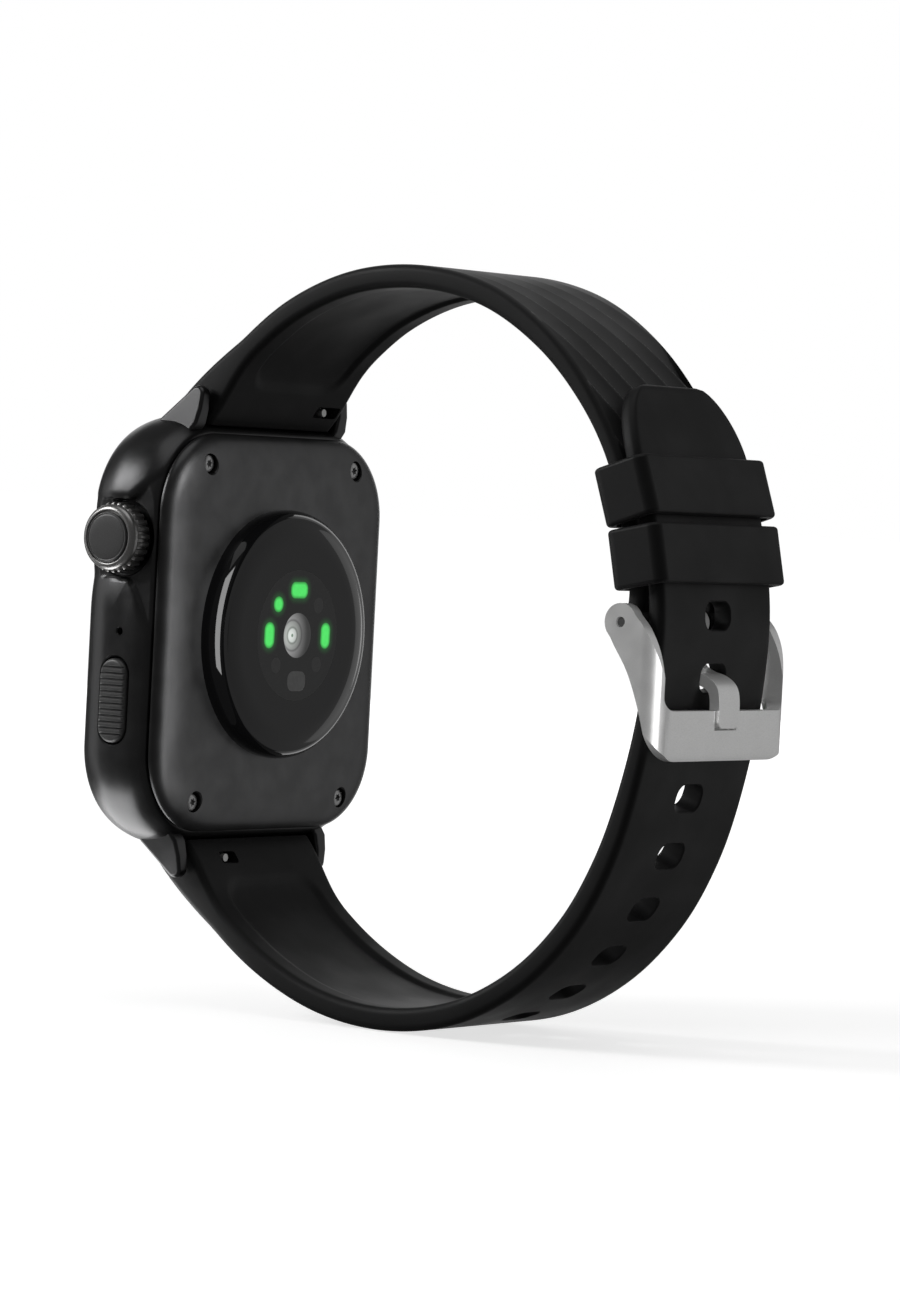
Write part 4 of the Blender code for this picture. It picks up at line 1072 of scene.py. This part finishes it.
def add_knuckle(obj, half_length, edge):
    """Adds the barrel round the buckle pin, as two halves that meet in the middle."""
    for start, end in ((0.0, half_length), (0.02, -half_length)):
        half = pillow(KNUCKLE_R, KNUCKLE_R, KNUCKLE_R - 0.01, "Y", (PIN_X, PIN_Z), start, end, edge)
        carve(obj, half, "UNION")


def short_strap():
    """The ridged half, which ends in a barrel round the buckle pin with a notch for the tongue."""
    path = Path(SHORT_POINTS)
    obj = strap_solid("short_strap_band", path, 240, 0.0, True, 170)
    add_knuckle(obj, STRAP_END_W / 2 - 0.1, 0.3)
    fit_to_case(obj, 1, 5.9, 9.95)
    carve(obj, rod(13.0, PIN_R + 0.2, (PIN_X, PIN_Z)))
    notch_y = TONGUE_W / 2 + TONGUE_GAP
    carve(obj, box((PIN_X - 4, -notch_y, PIN_Z - 4), (PIN_X + 4, notch_y, PIN_Z + 2.6)))
    return stand_for(obj, "watch", "silicone", "short_strap")


def long_strap():
    """The half with the holes and the free tip."""
    path = Path(LONG_POINTS)
    obj = strap_solid("long_strap_band", path, 260, STRAP_TIP_LENGTH, False, 60)
    fit_to_case(obj, -1, -6.5, -3.7)
    first = path.length_at(TONGUE_HOLE_Z)
    for k in range(-HOLES_BELOW, HOLES_ABOVE + 1):
        carve(obj, hole_cutter(path, first + k * HOLE_PITCH))
    stand_for(obj, "watch", "silicone", "long_strap")


def hole_cutter(path, length):
    """A rounded hole square to the strap, a little wider at the outer face."""
    point, along, normal = path.frame(length)
    _, half_t = strap_size(path, length)
    loops = []
    rows = ((-3.0, 0.0), (half_t - 0.28, 0.0), (half_t - 0.1, 0.05), (half_t + 0.05, 0.22), (3.0, 0.22))
    for out, grow in rows:
        outline = rounded_outline(HOLE_H / 2 + grow, HOLE_W / 2 + grow, HOLE_CORNER + grow, steps=8)
        base = point + normal * out
        loops.append([(base[0] + along[0] * u, v, base[1] + along[1] * u) for u, v in outline])
    return loft(loops)


def keeper_edge(radius, step, first, outer):
    """One face of a keeper from end to end: place along the strap, inset at a rounded end, and side."""
    rows = []
    for sign in (first, -first):
        turns = range(0, 91, step) if sign == first else range(90, -1, -step)
        for angle in turns:
            turn = math.radians(angle)
            place = sign * (KEEPER_H / 2 - radius + radius * math.cos(turn))
            rows.append((place, radius * (1 - math.sin(turn)), outer))
    return rows


def keeper(name, height_z, body):
    """A moulded loop round both strap layers, with rounded edges."""
    path = Path(LONG_POINTS)
    point, along, normal = path.frame(path.length_at(height_z))
    mid, half = (KEEPER_FRONT + KEEPER_BACK) / 2, (KEEPER_FRONT - KEEPER_BACK) / 2
    rows = keeper_edge(KEEPER_EDGE_R, 15, -1, True) + keeper_edge(KEEPER_INNER_EDGE_R, 30, 1, False)
    loops = []
    for along_by, inset, outer in rows:
        if outer:
            sizes = (half - inset, KEEPER_HALF_Y - inset, KEEPER_CORNER - inset)
        else:
            hole_half, hole_y = half - KEEPER_WALL + inset, KEEPER_HALF_Y - KEEPER_WALL - 0.1 + inset
            sizes = (hole_half, hole_y, KEEPER_INNER_CORNER + inset)
        outline = rounded_outline(*sizes, steps=10)
        base = point + normal * mid + along * along_by
        loops.append([(base[0] + normal[0] * n, y, base[1] + normal[1] * n) for n, y in outline])
    obj = new_object(f"{name}_loop", loft(loops, ring=True), (SILICONE,), 60)
    weigh(obj)
    stand_for(obj, body, "silicone", name)


# ---- buckle


def buckle_side_outline():
    """The crescent side view (x, z) of an ear and of the front bar's end."""
    ear_end = arc((PIN_X, PIN_Z), EAR_R, 25, 225, 20)
    inner, outer = Path(EAR_INNER, 5), Path(EAR_OUTER, 5)
    return ear_end + [tuple(p) for p in inner.points[2:]] + [tuple(p) for p in outer.points[:-3]]


def buckle():
    """One loop of steel: its plan, side and front outlines crossed, then opened inside and in front."""
    plan = rounded_outline(8.0, BUCKLE_OUT_Y, PLAN_CORNER, (BAR_OUT_X - 7.9, 0.0), 14)
    obj = new_object("buckle_frame_loop", prism(plan, "Z", -12.0, 8.0), (STEEL,))
    carve(obj, prism(buckle_side_outline(), "Y", -15.0, 15.0), "INTERSECT")
    inner = rounded_outline(10.0, BUCKLE_IN_Y, PLAN_INNER_CORNER, (BAR_IN_X - 10.0, 0.0), 10)
    carve(obj, prism(inner, "Z", -13.0, 9.0))
    front = rounded_outline(BUCKLE_OUT_Y + 0.02, 10.0, BAR_CORNER, (0.0, BAR_LOW_Z + 10.02), 12)
    carve(obj, prism(front, "X", 40.0, 60.0), "INTERSECT")
    window = rounded_outline(BUCKLE_IN_Y, 8.0, WINDOW_CORNER, (0.0, BAR_TOP_Z + 8.0), 8)
    carve(obj, prism(window, "X", 50.0, 58.0))
    notch_y = TONGUE_W / 2 + TONGUE_NOTCH_GAP
    notch_low = (BAR_OUT_X - 0.95, -notch_y, BAR_TOP_Z - 1.98)
    carve(obj, box(notch_low, (BAR_OUT_X + 2.4, notch_y, BAR_TOP_Z + 1.0)))
    carve(obj, rod(14.0, PIN_END_R + 0.06, (PIN_X, PIN_Z)))
    soften(obj, 0.3, 4, 40)
    stand_for(obj, "buckle_frame", "buckle_steel", "buckle_frame")
    end, shoulder = BUCKLE_OUT_Y - 0.12, BUCKLE_IN_Y - 0.1
    profile = (
        (-end, PIN_END_R - 0.06), (-end + 0.06, PIN_END_R), (-shoulder, PIN_END_R), (-shoulder, PIN_R),
        (shoulder, PIN_R), (shoulder, PIN_END_R), (end - 0.06, PIN_END_R), (end, PIN_END_R - 0.06),
    )
    pin = new_object("buckle_pin_rod", turned(profile, "Y", (PIN_X, PIN_Z), 32), (PIN_STEEL,))
    stand_for(pin, "buckle_frame", "buckle_steel", "buckle_pin")
    return obj


def tongue():
    """A bent prong that runs from a barrel on the pin, through the strap's hole, to the notch in the bar."""
    route = Path(TONGUE_POINTS)
    near, far = [], []
    steps = 40
    for step in range(steps + 1):
        length = route.total * step / steps
        point = route.spot(length)
        along = (route.spot(length + 0.3) - route.spot(length - 0.3)).normalized()
        across = Vector((-along[1], along[0])) * (TONGUE_T / 2)
        near.append(tuple(point + across))
        far.append(tuple(point - across))
    prong = prism(near + far[::-1], "Y", -TONGUE_W / 2, TONGUE_W / 2)
    obj = new_object("buckle_tongue_prong", prong, (STEEL,))
    end = rounded_outline(TONGUE_W / 2 + 0.02, 8.0, TONGUE_END_R, (0.0, 1.82), 8)
    carve(obj, prism(end, "X", 40.0, 60.0), "INTERSECT")
    soften(obj, 0.4, 5, 40)
    add_knuckle(obj, TONGUE_W / 2, 0.2)
    carve(obj, rod(5.0, PIN_R + 0.1, (PIN_X, PIN_Z)))
    return stand_for(obj, "buckle_tongue", "buckle_steel", "buckle_tongue")


# ---- stage


def floor():
    """A white floor that melts into the white background. The soft shadow under the watch is cast by the
    lamps, and painted shade deepens it: the floor's glow is weaker near the watch.
    """
    shader = Shader("pale_floor", (0.8, 0.8, 0.8), 0.9, 0.0, 0.1)
    seen = shader.node("ShaderNodeLightPath").outputs["Is Camera Ray"]
    grain = shader.remap(shader.noise(40.0), 0.98, 1.0)
    tone = shader.math("MULTIPLY", grain, shader.remap(seen, FLOOR_BOUNCE, FLOOR_TONE, 0.0, 1.0))
    shader.vary_color(tone, (0.0, 0.0, 0.0), (1.0, 1.0, 1.0))
    away = shader.node("ShaderNodeVectorMath", operation="LENGTH")
    shader.link(shader.place, away.inputs[0])
    # Painted shade: the floor glows less near the watch, so it darkens round it.
    glow = shader.remap(away.outputs["Value"], 0.72, 1.0, 0.05, 0.5)
    shader.set("Emission Color", (1.0, 1.0, 1.0, 1.0))
    shader.link(shader.math("MULTIPLY", seen, glow), shader.bsdf.inputs["Emission Strength"])
    top = cad_bounds[0][2] / MM - FLOOR_GAP
    slab = box((-FLOOR_SIZE, -FLOOR_SIZE, top - FLOOR_THICKNESS), (FLOOR_SIZE, FLOOR_SIZE, top))
    obj = new_object("floor", slab, (shader.material,))
    obj.visible_glossy = False
    obj.visible_shadow = False


def softbox(name, direction, distance, width, height, radiance, target):
    """A rectangular area light that looks at the watch from a direction. Sizes are in millimetres."""
    data = bpy.data.lights.new(name, "AREA")
    data.shape = "RECTANGLE"
    data.size = width * MM
    data.size_y = height * MM
    data.energy = radiance * math.pi * data.size * data.size_y
    obj = bpy.data.objects.new(name, data)
    target = Vector(target) * MM
    obj.location = target + Vector(direction).normalized() * distance * MM
    obj.rotation_euler = (target - obj.location).to_track_quat("-Z", "Y").to_euler()
    obj.visible_camera = False
    bpy.context.scene.collection.objects.link(obj)
    return obj


def only_for(light, pieces):
    """Lets a light reach only a few pieces, past anything that stands in its way."""
    group = bpy.data.collections.new(f"{light.name}_pieces")
    for piece in pieces:
        group.objects.link(piece)
    light.light_linking.receiver_collection = group
    light.light_linking.blocker_collection = group


def lights(dome, cover, band, steel):
    """Soft boxes round the watch, and a white background that only the camera sees."""
    case, loop = (-8.0, -18.0, 0.0), (18.0, 0.0, 0.0)
    case_top, case_foot = (-8.0, -18.0, 14.0), (-33.0, -18.0, 0.0)
    # Name, direction, distance, width, height, radiance, target, and the only pieces it reaches, if any
    for *values, pieces in (
        ("key_top", (-0.66, -0.58, 0.45), 330, 120, 140, 8.0, case_top, ()),
        ("key_low", (0.0, 0.0, -1.0), 39.2, 36, 36, 4.0, case_foot, ()),
        ("left_strip", (-0.94, -0.33, 0.0), 420, 90, 420, 1.3, case, ()),
        ("back_right", (0.58, 0.81, 0.0), 620, 620, 900, 0.3, loop, ()),
        ("background", (-0.58, 0.81, 0.02), 800, 700, 900, 0.9, loop, ()),
        ("overhead", (0.15, -0.1, 1.0), 520, 420, 420, 0.7, loop, ()),
        ("cover_panel", (0.98, 0.2, 0.0), 600, 160, 700, 8.0, loop, (cover,)),
        ("dome_strip", (0.66, -0.755, 0.16), 620, 500, 1000, 8.0, loop, (dome,)),
        ("rim_panel", (0.07, 1.0, 0.0), 500, 140, 900, 2.0, loop, (dome,)),
        ("rim_fill", (0.33, 0.94, 0.0), 500, 120, 900, 0.5, loop, (dome,)),
        ("band_sky", (-0.05, 0.6, 0.8), 700, 800, 380, 1.0, loop, (band,)),
        ("steel_panel", (0.79, -0.55, 0.05), 600, 110, 560, 8.5, loop, steel),
    ):
        light = softbox(*values)
        if pieces:
            only_for(light, pieces)
    world = bpy.data.worlds.new("studio")
    bpy.context.scene.world = world
    world.use_nodes = True
    tree = world.node_tree
    mix = tree.nodes.new("ShaderNodeMix")
    mix.data_type = "RGBA"
    mix.inputs[6].default_value = (0.08, 0.08, 0.08, 1.0)
    mix.inputs[7].default_value = (1.0, 1.0, 1.0, 1.0)
    rays = tree.nodes.new("ShaderNodeLightPath")
    tree.links.new(rays.outputs["Is Camera Ray"], mix.inputs[0])
    tree.links.new(mix.outputs[2], tree.nodes["Background"].inputs["Color"])


def camera():
    """The view: 35 degrees round from the crown side towards the buckle, almost level."""
    data = bpy.data.cameras.new("camera")
    data.lens = CAMERA_LENS
    data.sensor_width = CAMERA_SENSOR
    data.clip_start = 0.01
    data.clip_end = 50.0
    obj = bpy.data.objects.new("camera", data)
    turn = Matrix((CAMERA_RIGHT, CAMERA_UP, CAMERA_BACK)).transposed().to_4x4()
    obj.matrix_world = Matrix.Translation(Vector(CAMERA_PLACE) * MM) @ turn
    bpy.context.scene.collection.objects.link(obj)
    bpy.context.scene.camera = obj


# ---- build

bpy.context.scene.view_settings.view_transform = "Standard"
camera()
floor()
dress_cad()
case_frame()
lugs()
cover_shell = back_cover()
screws()
front_glass()
sensor_glass = sensor()
crown()
side_button()
ridged_band = short_strap()
long_strap()
keeper("fixed_keeper", 10.9, "watch")
keeper("floating_keeper", 17.6, "floating_keeper")
steel_parts = (buckle(), tongue())
lights(sensor_glass, cover_shell, ridged_band, steel_parts)
